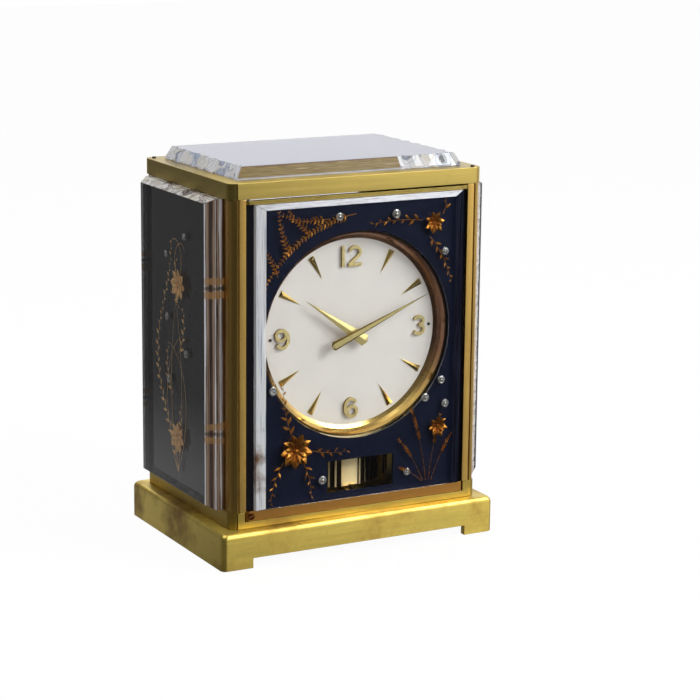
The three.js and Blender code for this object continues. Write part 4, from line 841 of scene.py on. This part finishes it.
def stem(x, y, heading, length, bend=0.0, curl=0.0, wave=0.0):
    """Points of one stem in the design's flat, in mm and degrees.

    Bend turns it evenly in all, curl turns mostly its tip, and wave swings it to one side and back.
    """
    steps = 14
    points = [Vector((x, y, 0))]
    for step in range(steps):
        share = (step + 0.5) / steps
        turned = heading + bend * share + curl * share ** 3 + wave * math.sin(2 * math.pi * share)
        angle = math.radians(turned)
        points.append(points[-1] + Vector((math.cos(angle), math.sin(angle), 0)) * length / steps)
    return points


def stems(*rows):
    """Several stems as one list of points and one list of the edges that join them."""
    points, edges = [], []
    for row in rows:
        first = len(points)
        points += stem(*row)
        edges += [(step, step + 1) for step in range(first, len(points) - 1)]
    return points, edges


def spots(*points):
    """Single points, with no edges."""
    return points, []


def grown(name, tree, path, values, place, body, slot):
    """Grows a geometry tree on a path in mm, and sets the plain mesh in its place on a body."""
    points, edges = path
    mesh = bpy.data.meshes.new(name + "_path")
    mesh.from_pydata([Vector(point) * MM for point in points], edges, [])
    holder = new_object(name + "_path", mesh)
    modifier = holder.modifiers.new(name, "NODES")
    modifier.node_group = bpy.data.node_groups[tree]
    for item in modifier.node_group.interface.items_tree:
        if item.in_out == "INPUT" and item.name in values:
            modifier[item.identifier] = values[item.name]
    evaluated = holder.evaluated_get(bpy.context.evaluated_depsgraph_get())
    result = bpy.data.meshes.new_from_object(evaluated)
    holder.modifiers.remove(modifier)
    bpy.data.objects.remove(holder)
    bpy.data.meshes.remove(mesh)
    result.transform(place)
    result.name = name
    result.shade_smooth()
    result.set_sharp_from_angle(angle=math.radians(38))
    piece = new_object(name, result)
    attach(piece, body)


class StageOperator(bpy.types.Operator):
    """Camera, floor and soft light"""
    bl_idname = "clock.stage"
    bl_label = "Stage"

    def execute(self, context):
        scene, settings = context.scene, context.scene.clock_stage
        aim = Vector(settings.camera_aim).normalized()
        right = aim.cross(Vector((0, 0, 1))).normalized()
        across = right * math.cos(settings.camera_roll) + right.cross(aim) * math.sin(settings.camera_roll)
        lens = bpy.data.cameras.new("camera")
        lens.lens = settings.camera_lens
        lens.sensor_width = 36
        lens.clip_end = 20
        scene.camera = new_object("camera", lens)
        scene.camera.matrix_world = axes_at(across, across.cross(aim), -aim, settings.camera_place)
        self.make_room(scene, settings)
        self.make_floor()
        self.make_lamps(settings)
        scene.view_settings.view_transform = "Standard"
        return {"FINISHED"}

    def sharp_rays(self, graph, path):
        """1 for rays that show something in a mirror or through a slab, 0 for soft light on matt faces."""
        sharp = graph.math("MAXIMUM", path["Is Glossy Ray"], path["Is Transmission Ray"])
        return graph.minus(sharp, graph.math("GREATER_THAN", path["Diffuse Depth"], 0.5), True)

    def make_room(self, scene, settings):
        """Plain light from all round; polished surfaces see a studio, dark in front and on the left."""
        world = bpy.data.worlds.new("room")
        world.use_nodes = True
        scene.world = world
        graph = Graph(world.node_tree)
        path = graph.add("ShaderNodeLightPath").outputs
        right, ahead, above = graph.axes("Generated")
        behind = graph.between(right, -0.4, 0.1, 0.13, 1.0)
        softbox = graph.times(graph.between(right, 0.34, 0.6, 0.12, 1.85),
                              graph.between(above, -0.05, 0.12, 0.35, 1.0))
        level = graph.mixed(graph.between(ahead, -0.15, 0.25), softbox, behind)
        level = graph.mixed(graph.between(above, 0.72, 0.95), level, 0.95)
        onward = graph.times(graph.between(ahead, 0.2, 0.5), graph.between(right, -0.1, 0.1))
        level = graph.mixed(path["Is Transmission Ray"], level, graph.mixed(onward, level, 1.0))
        level = graph.mixed(self.sharp_rays(graph, path), settings.room_level, level)
        level = graph.mixed(path["Is Camera Ray"], level, 1.0)
        light = graph.out("ShaderNodeBackground", {"Color": (1, 1, 1), "Strength": level})
        graph.add("ShaderNodeOutputWorld", {"Surface": light})

    def make_floor(self):
        """A wide pale floor that looks white from the camera and keeps the clock's shadow.

        Polished surfaces see it dark in front and on the left, as in a studio with black cloth there.
        """
        mesh = bpy.data.meshes.new("floor")
        half = 4.0
        mesh.from_pydata([(-half, -half, 0), (half, -half, 0), (half, half, 0), (-half, half, 0)], [],
                         [(0, 1, 2, 3)])
        floor = new_object("floor", mesh)
        made = bpy.data.materials.new("floor_white")
        made.use_nodes = True
        mesh.materials.append(made)
        graph = Graph(made.node_tree)
        right, ahead, _ = graph.axes()
        path = graph.add("ShaderNodeLightPath").outputs
        behind = graph.between(right, -0.25, 0.2, 0.13, 1.0)
        cloth = graph.mixed(graph.between(ahead, -0.12, 0.12), 0.035, behind)
        matt = graph.out("ShaderNodeBsdfDiffuse", {"Color": (0.62, 0.62, 0.62)})
        tone = graph.out("ShaderNodeEmission", {"Color": (1, 1, 1), "Strength": cloth})
        white = graph.out("ShaderNodeEmission", {"Color": (1, 1, 1), "Strength": 1.03})
        sharp = self.sharp_rays(graph, path)
        mirrored = graph.out("ShaderNodeMixShader", {0: sharp, 1: matt, 2: tone})
        onward = graph.times(graph.between(ahead, 0.0, 0.1), graph.between(right, 0.0, 0.12))
        through = graph.times(path["Is Transmission Ray"], onward)
        share = graph.times(graph.math("MAXIMUM", path["Is Camera Ray"], through), 0.93)
        surface = graph.out("ShaderNodeMixShader", {0: share, 1: mirrored, 2: white})
        graph.add("ShaderNodeOutputMaterial", {"Surface": surface})

    def make_lamps(self, settings):
        """A large soft key at the front right and a weaker one above."""
        for name, place, power, size in (("key", (0.95, -1.05, 1.0), settings.key_power, 0.8),
                                         ("overhead", (-0.1, 0.2, 1.4), settings.key_power * 0.35, 1.0)):
            lamp = bpy.data.lights.new(name, "AREA")
            lamp.energy = power
            lamp.size = size
            holder = new_object(name, lamp)
            holder.location = place
            aim = Vector((0, 0, 0.12)) - Vector(place)
            holder.rotation_euler = aim.to_track_quat("-Z", "Y").to_euler()


class CaseOperator(bpy.types.Operator):
    """Brushed brass of the plinth, platform, pillars and top frame"""
    bl_idname = "clock.case"
    bl_label = "Brass case"

    def execute(self, context):
        metal = context.scene.clock_metal
        flat, upright = (0.02, 0.02, 1), (1, 1, 0.02)
        pillars = [f"pillar_{end}_{side}" for end in ("front", "rear") for side in ("left", "right")]
        for name, colour, grain, roughness, stain_and_painted_reflection, contrast, nodes in (
                ("aged_brass_plinth", metal.plinth_brass, flat, 0.38, 1.05, 0.42, ["plinth"]),
                ("brushed_brass_platform", metal.step_brass, flat, 0.38, 0.7, 0.5, ["base_platform"]),
                ("brushed_brass_bars", metal.brass, flat, 0.38, 0.55, 0.5, ["top_frame"]),
                ("brushed_brass_pillars", metal.post_brass, upright, 0.36, 0.75, 0.5, pillars)):
            made = brushed_metal(name, colour, grain, roughness, metal.stain_and_painted_reflection, stain_and_painted_reflection, contrast)
            for node in nodes:
                paint_piece(refined(node, metal.edge_radius), "brass", made)
        return {"FINISHED"}


class SlabOperator(bpy.types.Operator):
    """Clear slabs on the top, the sides and the door, with their paint"""
    bl_idname = "clock.slabs"
    bl_label = "Acrylic slabs"

    def execute(self, context):
        settings = context.scene.clock_slab
        clear = clear_acrylic("clear_acrylic", settings.refraction)
        # Painted reflection: pale streaks with browns at one end, standing for white light and brass seen in
        # the bevels.
        pale_reflection_bevel = cut_bevel("frosted_bevel", settings.refraction, (0.08, 1, 1), [
            (0.02, (104, 70, 52)), (0.12, (150, 132, 122)), (0.3, (196, 198, 206)), (0.6, (216, 219, 228)),
            (0.95, (236, 236, 236))], through=0.35)
        self.finish_top(settings, clear, pale_reflection_bevel)
        self.finish_sides(settings.refraction, clear)
        self.finish_door(settings.refraction, clear, pale_reflection_bevel)
        black = painted("black_lacquer", settings.black, 0.5, shine=0.0)
        dress(["left_backing", "right_backing"], black)
        dress(["rear_glass"], clear)
        return {"FINISHED"}

    def finish_top(self, settings, clear, pale_reflection_bevel):
        """The top slab: polished in front, hewn at its sides, with a pale sheet below; its front bevel is
        painted with the brass seen through it.
        """
        # Flake tones on the hewn sides: painted light and shade.
        hewn = hewn_acrylic("hewn_acrylic", settings.refraction, [
            (0.05, (150, 152, 150)), (0.13, COLD), (0.24, WHITE), (0.54, WHITE), (0.64, CREAM),
            (0.8, WHITE), (0.94, COLD)], size=78.0)
        sheet = painted("lavender_sheet", settings.top_sheet, 0.6, shine=0.0)
        low, high = box_in_mm("top_slab")
        # Painted refraction: the brass frame below as seen through the front bevel, with a brown line of
        # painted reflection at its top.
        olive = cut_bevel("olive_bevel", settings.refraction, (0.03, 1, 1), [
            (0.0, (96, 78, 42)), (0.3, (132, 114, 72)), (0.5, (148, 130, 88)), (0.7, (120, 102, 62)),
            (1.0, (178, 162, 126))], through=0.0, bands=[(high.z * MM, 0.55 * MM, (96, 66, 54))], shine=0.1)
        polished_end = low.x + (high.x - low.x) * 0.745
        foot = low.z + 1.1

        def rule(middle, normal):
            if abs(normal.z) > 0.9:
                return 0 if normal.z > 0 else 1
            if abs(normal.y) > 0.5 and abs(normal.x) < 0.05 and middle.x < polished_end:
                return 2 if normal.y < 0 and middle.z >= foot else 4
            return 3

        top = refined("top_slab", SLAB_EDGE, segments=1, angle=12, rule=rule)
        paint_piece(top, "acrylic", clear, sheet, olive, hewn, pale_reflection_bevel)

    def finish_sides(self, refraction, clear):
        """The side slabs: hewn above, with streaked bevels on the left and black-edged on the right, the
        streaks and black edge being painted refraction and reflection.
        """
        # Flake tones on the side slabs' chipped tops: painted light, shade and reflection of brass.
        chipped = hewn_acrylic("chipped_acrylic", refraction, [
            (0.05, (96, 82, 74)), (0.2, (168, 150, 140)), (0.34, WHITE), (0.5, CREAM),
            (0.66, (190, 172, 158)), (0.8, WHITE), (0.95, (120, 104, 96))], size=105.0)
        low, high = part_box("left_slab")
        middle_y = (low.y + high.y) / 2
        flat_edge, outer_edge = high.y - middle_y - 4.7 * MM, high.y - middle_y
        # Brass collars of the columns inside, seen through the bevels: bands of painted reflection.
        bands = [(height * MM, half * MM, colour) for height, half, colour in (
            (169.5, 1.6, BRONZE), (165.2, 0.7, DARK), (161.2, 1.8, BRONZE),
            (83.0, 1.6, BRONZE), (78.8, 0.7, DARK), (75.0, 1.4, BRONZE))]
        # Painted refraction on the left slab's bevels: streaks of the inside, brown and dark, with pale
        # edges.
        tinted = cut_bevel("streaked_bevel", refraction, (1, 1, 0.012), [
            (0.0, PALE), (0.1, PALE), (0.16, DARK), (0.28, TAN), (0.42, BROWN), (0.54, DARK), (0.7, BROWN),
            (0.82, TAN), (0.88, BROWN), (0.97, PALE)], through=0.1, bands=bands,
            across=(1, middle_y, flat_edge, outer_edge))
        # Painted refraction on the front edge: the pillar's brass side, a dark line, a pale line and browns,
        # by distance across the slab.
        narrow = cut_bevel("streaked_front_edge", refraction, (1, 1, 0.02), [
            (0.0, (58, 42, 28)), (0.3, (104, 80, 56)), (0.42, (170, 168, 182)), (0.56, PALE), (0.64, BROWN),
            (0.8, TAN), (0.9, DARK), (1.0, BROWN)], through=0.1, bands=bands,
            across=(0, 0.0, -high.x, 87.8 * MM))
        low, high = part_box("right_slab")
        # Painted reflection on the right slab's bevels, seen edge on: black with white and tan streaks.
        edged = cut_bevel("black_edged_bevel", refraction, (1, 1, 0.4), [
            (0.0, (14, 14, 18)), (0.5, (14, 14, 18)), (0.56, WHITE), (0.7, TAN), (0.78, DARK),
            (0.86, WHITE), (1.0, TAN)], through=0.0, shine=0.1,
            across=(1, (low.y + high.y) / 2, flat_edge, outer_edge))

        def rule(middle, normal):
            if abs(normal.x) > 0.93:
                return 0
            if abs(normal.z) > 0.3:
                return 1
            return 3 if normal.y < -0.95 else 2

        for node, bevel, edge in (("left_slab", tinted, narrow), ("right_slab", edged, edged)):
            piece = refined(node, SLAB_EDGE, segments=1, angle=12, rule=rule)
            paint_piece(piece, "acrylic", clear, chipped, bevel, edge)

    def finish_door(self, refraction, clear, pale_reflection_bevel):
        """The door's slab, its bevels painted with reflection: bright on its left bevel, pale and streaked
        above and deep on its right one.
        """
        # Painted reflection on the left bevel: white and pale blue streaks, with a brown patch low down.
        bright = cut_bevel("bright_bevel", refraction, (1, 1, 0.02), [
            (0.08, (130, 142, 164)), (0.2, (206, 212, 226)), (0.4, WHITE), (0.7, (236, 240, 248)),
            (0.86, (190, 200, 220)), (0.97, (120, 132, 156))], through=0.25,
            stain_and_painted_reflection=(0.046, 0.080, (120, 84, 56)))
        # Painted reflection on the right bevel: dark navy with one lighter line.
        deep = cut_bevel("deep_bevel", refraction, (1, 1, 0.01), [
            (0.1, (12, 12, 18)), (0.3, (16, 17, 26)), (0.45, (38, 40, 56)), (0.52, (16, 17, 28)),
            (0.7, (12, 12, 18)), (0.9, (24, 26, 38))], through=0.0, shine=0.2)

        def rule(middle, normal):
            if abs(normal.x) > 0.1:
                return 1 if normal.x < 0 else 3
            return 2 if normal.z > 0.15 else 0

        slab = refined("door_slab", SLAB_EDGE, segments=1, angle=8, rule=rule)
        paint_piece(slab, "acrylic", clear, bright, pale_reflection_bevel, deep)


class DoorOperator(bpy.types.Operator):
    """Rails and painted plate of the front door"""
    bl_idname = "clock.door"
    bl_label = "Front door"

    def execute(self, context):
        metal, slab = context.scene.clock_metal, context.scene.clock_slab
        copper = brushed_metal("satin_copper", metal.copper, (0.03, 0.03, 1), 0.34, metal.stain_and_painted_reflection, 0.4, 0.2)
        pale = brushed_metal("brushed_brass_rail", metal.brass, (0.02, 0.02, 1), 0.28)
        paint_piece(refined("door_bottom_rail", 0.2 * MM), "red_brass", copper)
        paint_piece(refined("door_top_rail", 0.15 * MM), "pale_brass", pale)
        low, high = box_in_mm("door_slab")
        dial = box_in_mm("dial")
        hole, reach = (dial[0] + dial[1]) / 2, 65

        def rule(middle, normal):
            if abs(normal.y) > 0.5:
                return 0 if low.x < middle.x < high.x else 1
            return 2 if math.hypot(middle.x - hole.x, middle.z - hole.z) < reach else 1

        sides = [(Vector((side.x * MM, 0, 0)), Vector((1, 0, 0))) for side in (low, high)]
        paint_piece(refined("door_frame", 0, cuts=sides, rule=rule), "night_blue",
                    painted("night_blue_paint", slab.night_blue, 0.5, shine=0.1),
                    painted("black_recess_paint", slab.black, 0.5, shine=0.1),
                    polished_metal("bare_hole_edge", srgb(150, 158, 176), 0.3))
        return {"FINISHED"}


class DialOperator(bpy.types.Operator):
    """Dial, bezel, numerals, markers and hands"""
    bl_idname = "clock.dial"
    bl_label = "Dial and hands"

    def execute(self, context):
        metal = context.scene.clock_metal
        # Painted shade: darker brown gilt on the side faces of the numerals and hands.
        edges = polished_metal("browned_numeral_edges", srgb(156, 118, 60), 0.2)
        gilt = polished_metal("polished_gilt", metal.gilt, 0.13)
        cream = patinated_metal("cream_gilt", metal.cream_gilt, srgb(226, 200, 128), 0.3, 0.6)
        dress(["dial"], painted("ivory_dial", context.scene.clock_dial.ivory, 0.5))
        # The bezel's upper part is darkened brown by painted shade.
        paint_piece(rounded_bezel(), "pale_brass", gilt_with_painted_shade(
            "aged_bezel_gilt", metal.bezel_gilt, metal.bezel_painted_shade, 0.082, 0.118, 0.17))
        low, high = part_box("dial")
        hub = (low + high) / 2
        # Distances from the hub over which the hands darken towards their tips: painted shade.
        painted_shade_between = {"hour_hand": (0.022, 0.04), "minute_hand": (0.036, 0.056)}

        def rule(middle, normal):
            return 0 if normal.y < -0.9 else 1

        for node in frame["nodes"]:
            width, angle, faces = 0.06 * MM, 8, (cream, gilt)
            if node.startswith("numeral_"):
                width, angle, faces = 0.1 * MM, 20, (cream, edges)
            elif node in painted_shade_between:
                faces = (gilt_with_painted_shade(node + "_gilt", metal.hand_gilt, metal.hand_painted_shade,
                                      *painted_shade_between[node], 0.24, hub, 0.6), edges)
            elif not node.startswith("marker_"):
                continue
            piece = refined(node, width, segments=1, angle=angle, rule=rule)
            paint_piece(piece, "pale_brass", *faces)
        return {"FINISHED"}


class MovementOperator(bpy.types.Operator):
    """Wheels, plates, bellows, pendulum, rear cover and feet"""
    bl_idname = "clock.movement"
    bl_label = "Movement"

    def execute(self, context):
        metal = context.scene.clock_metal
        drum = brushed_metal("brushed_pendulum_brass", srgb(255, 232, 176), (0.6, 0.6, 0.3), 0.42,
                             contrast=0.15)
        # Painted shade: dark brass on the flanks and valleys of the drum's ribs.
        groove = polished_metal("dark_groove_brass", srgb(58, 40, 20), 0.4)
        dress(["hour_wheel", "minute_wheel", "barrel", "centre_wheel", "third_wheel", "rear_latch",
               "spirit_level", "lock_lever"], polished_metal("polished_wheel_brass", metal.gilt, 0.24))
        dress(["front_plate", "rear_plate", "column_left", "column_right", "suspension_bracket",
               "bellows_housing"], brushed_metal("brushed_plate_brass", metal.gilt, (1, 0.03, 0.03), 0.3))
        paint_piece(ribbed_pendulum(groups=10, ribs=5, pitch=5.2, phase=273.4 - 18), "pale_brass",
                    drum, groove)
        dress(["cannon_pinion", "escape_wheel", "anchor", "suspension_wire", "hinge_pin_lower",
               "hinge_pin_upper", "rear_foot", "levelling_foot_left", "levelling_foot_right"],
              polished_metal("polished_steel", metal.steel, 0.2))
        dress(["rear_frame"], bpy.data.materials["brushed_brass_bars"])
        return {"FINISHED"}


class OrnamentOperator(bpy.types.Operator):
    """Sprigs, blossoms and beads of copper and silver inside the acrylic slabs"""
    bl_idname = "clock.ornaments"
    bl_label = "Ornaments"

    def execute(self, context):
        metal = context.scene.clock_metal
        copper = patinated_metal("ornament_copper", metal.sprig, srgb(70, 38, 20), 0.26)
        gold = patinated_metal("ornament_gold", metal.sprig_gold, srgb(188, 122, 68), 0.45, 0.3)
        silver = patinated_metal("ornament_silver", metal.silver, srgb(96, 96, 100), 0.08, 0.8)
        leaf = leaf_part("leaf", length=5.2 * MM, width=1.9 * MM, rise=0.3 * MM)
        petal = leaf_part("petal", length=8.6 * MM, width=4.4 * MM, rise=0.9 * MM, widest=1.25, rows=8)
        bead = turned_part("bead", [(0, 1.0), (0.5, 0.88), (0.9, 0.5), (1.05, 0.15), (1.25, 0.3),
                                    (1.5, 0.2), (1.55, -0.2), (0, -0.4)], segments=14)
        sprig = {"Leaf": leaf, "Material": copper, "Spacing": 2.3 * MM, "Leaf Size": 0.8, "Seed": 3}
        flower = {"Petal": petal, "Bead": bead, "Material": copper}
        dots = {"Part": bead, "Material": silver, "Size Spread": 0.15}
        door_rows = [
            ("door_vine", "leafy_sprig", stems(
                (-3, 205, 186, 78, 58), (-20, 203, 178, 34, 30, -150), (-33, 194, 128, 22, 30),
                (-46, 183, 118, 27, -24), (-54, 171, 108, 20, 20)),
             {**sprig, "Pairs": True, "Lean": 0.95, "Leaf Size": 0.72}),
            ("door_sprigs", "leafy_sprig", stems(
                (-44, 74, 112, 34, -22), (-50, 60, 236, 26, 30), (-37, 58, 300, 22, -30),
                (-31, 65, 342, 24, 22), (47, 188, 312, 32, -26), (42, 198, 172, 34, 16),
                (56, 201, 60, 10, 40)),
             {**sprig, "Leaf Size": 1.05, "Spacing": 2.9 * MM}),
            ("door_stalks", "leafy_sprig", stems(
                (47, 37, 96, 48, 14), (49, 37, 84, 40, -10), (51, 37, 72, 30, -16), (45, 37, 112, 32, 18),
                (44, 37, 134, 18, 24)),
             {**sprig, "Pairs": True, "Lean": 0.42, "Bare": 0.55, "Spacing": 1.9 * MM, "Leaf Size": 0.9}),
            ("door_blossom_large", "blossom", spots((-42, 66, 0)),
             {**flower, "Petals": 9, "Size": 1.15, "Cup": 0.1}),
            ("door_blossom_small", "blossom", spots((50, 196, 0), (55, 70, 0)),
             {**flower, "Petals": 7, "Size": 0.72, "Cup": 0.14}),
            ("door_beads", "placed_parts", spots(
                (-14, 204, 0), (24, 203, 0), (58, 178, 0), (-57, 104, 0), (57, 99, 0), (46, 89, 0),
                (60, 84, 0), (34, 44, 0), (-24, 46, 0)),
             {**dots, "Size": 1.6, "Seed": 5})]
        side_rows = [
            ("_climber", "leafy_sprig", stems(
                (4, 42, 100, 152, -12, 0, 26), (-4, 92, 140, 30, -70), (3, 118, 44, 30, 62),
                (5, 146, 128, 30, -60), (2, 60, 60, 26, 44)),
             {**sprig, "Material": gold, "Leaf Size": 1.15, "Spacing": 3.4 * MM}),
            ("_tendrils", "leafy_sprig", stems(
                (2, 45, 60, 92, 52, 60), (2, 45, 124, 96, -58, -40), (2, 45, 76, 120, 34),
                (2, 45, 108, 124, -40), (6, 165, 70, 36, 60, 160), (3, 160, 118, 38, -50, -150)),
             {**sprig, "Material": gold, "Bare": 2.0, "Wire": 0.26 * MM}),
            ("_blossoms", "blossom", spots((4, 160, 0.4), (2, 66, 0.4)),
             {**flower, "Material": gold, "Petals": 8, "Size": 1.05, "Cup": 0.14, "Seed": 2}),
            ("_beads", "placed_parts", spots(
                (14, 120, 0), (-13, 138, 0), (12, 190, 0), (-11, 100, 0), (-14, 176, 0)),
             {**dots, "Size": 1.65, "Seed": 6})]
        for prefix, rows, body, right, out, origin in (
                ("", door_rows, "front_door", (1, 0, 0), (0, -1, 0), (0, -59.7, 0)),
                ("left", side_rows, "case", (0, -1, 0), (-1, 0, 0), (-87.6, 0, 0)),
                ("right", side_rows, "case", (0, 1, 0), (1, 0, 0), (87.6, 0, 0))):
            place = axes_at(right, (0, 0, 1), out, Vector(origin) * MM)
            for name, tree, path, values in rows:
                slot = "steel" if tree == "placed_parts" else "red_brass"
                grown(prefix + name, tree, path, values, place, body, slot)
        for part in (leaf, petal, bead):
            bpy.data.objects.remove(part)
        return {"FINISHED"}


class ScrewOperator(bpy.types.Operator):
    """Slotted screws of the top frame, the dial and the door's pivot"""
    bl_idname = "clock.screws"
    bl_label = "Screws"

    def execute(self, context):
        dark = polished_metal("darkened_screw_steel", srgb(96, 82, 70), 0.3)
        bronze = polished_metal("bronze_screw", srgb(150, 84, 52), 0.28)
        screw = screw_part("screw", radius=1.2 * MM, height=0.7 * MM, slot_width=0.36 * MM,
                           slot_depth=0.4 * MM)
        plate_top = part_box("top_frame")[1][2] / MM
        corner_spots = spots((-79.6, 56.8, plate_top), (79.6, 56.8, plate_top), (79.6, -54.6, plate_top))
        dial = box_in_mm("dial")
        middle = (dial[0].z + dial[1].z) / 2
        sunk = 0.9
        rail_front = -box_in_mm("door_bottom_rail")[0].y - sunk
        facing = axes_at((1, 0, 0), (0, 0, 1), (0, -1, 0), (0, 0, 0))
        for name, path, material, size, spread, seed, place, body, slot in (
                ("top_frame_screws", corner_spots, dark, 1.05, 1.5, 2, Matrix.Identity(4), "case", "steel"),
                ("dial_screws", spots((-53.6, middle, -dial[0].y), (53.6, middle, -dial[0].y)), dark, 0.75,
                 1.5, 3, facing, "case", "steel"),
                ("pivot_screw", spots((-70.4, 29.4, rail_front)), bronze, 1.7, 1.0, 4, facing, "front_door",
                 "red_brass")):
            grown(name, "placed_parts", path, {"Part": screw, "Material": material, "Size": size,
                                               "Turn Spread": spread, "Seed": seed}, place, body, slot)
        bpy.data.objects.remove(screw)
        return {"FINISHED"}


class ClockPanel(bpy.types.Panel):
    """Shows the clock's operators and settings"""
    bl_idname = "CLOCK_PT_pieces"
    bl_label = "Atmospheric clock"
    bl_space_type = "VIEW_3D"
    bl_region_type = "UI"
    bl_category = "Clock"

    def draw(self, context):
        for operator in OPERATORS:
            self.layout.operator(operator.bl_idname)
        for holder in HOLDERS:
            settings = getattr(context.scene, holder)
            box = self.layout.box()
            for name in settings.__annotations__:
                box.prop(settings, name)


OPERATORS = [StageOperator, CaseOperator, SlabOperator, DoorOperator, DialOperator, MovementOperator,
             OrnamentOperator, ScrewOperator]
HOLDERS = {"clock_stage": StageSettings, "clock_metal": MetalSettings, "clock_slab": SlabSettings,
           "clock_dial": DialSettings}


def register():
    """Registers the settings, the operators and the panel."""
    for holder, kind in HOLDERS.items():
        bpy.utils.register_class(kind)
        setattr(bpy.types.Scene, holder, bpy.props.PointerProperty(type=kind))
    for kind in [*OPERATORS, ClockPanel]:
        bpy.utils.register_class(kind)


def unregister():
    """Takes them away again."""
    for kind in [ClockPanel, *reversed(OPERATORS)]:
        bpy.utils.unregister_class(kind)
    for holder, kind in HOLDERS.items():
        delattr(bpy.types.Scene, holder)
        bpy.utils.unregister_class(kind)


def main():
    """Makes the whole clock and its stage."""
    register()
    for build in (build_grain_group, build_bloom_group, build_smudge_group, build_streak_group,
                  build_flake_group, build_sprig_tree, build_blossom_tree, build_placing_tree):
        build()
    for operator in OPERATORS:
        name = operator.bl_idname.split(".")[1]
        getattr(bpy.ops.clock, name)()


if __name__ == "__main__":
    main()
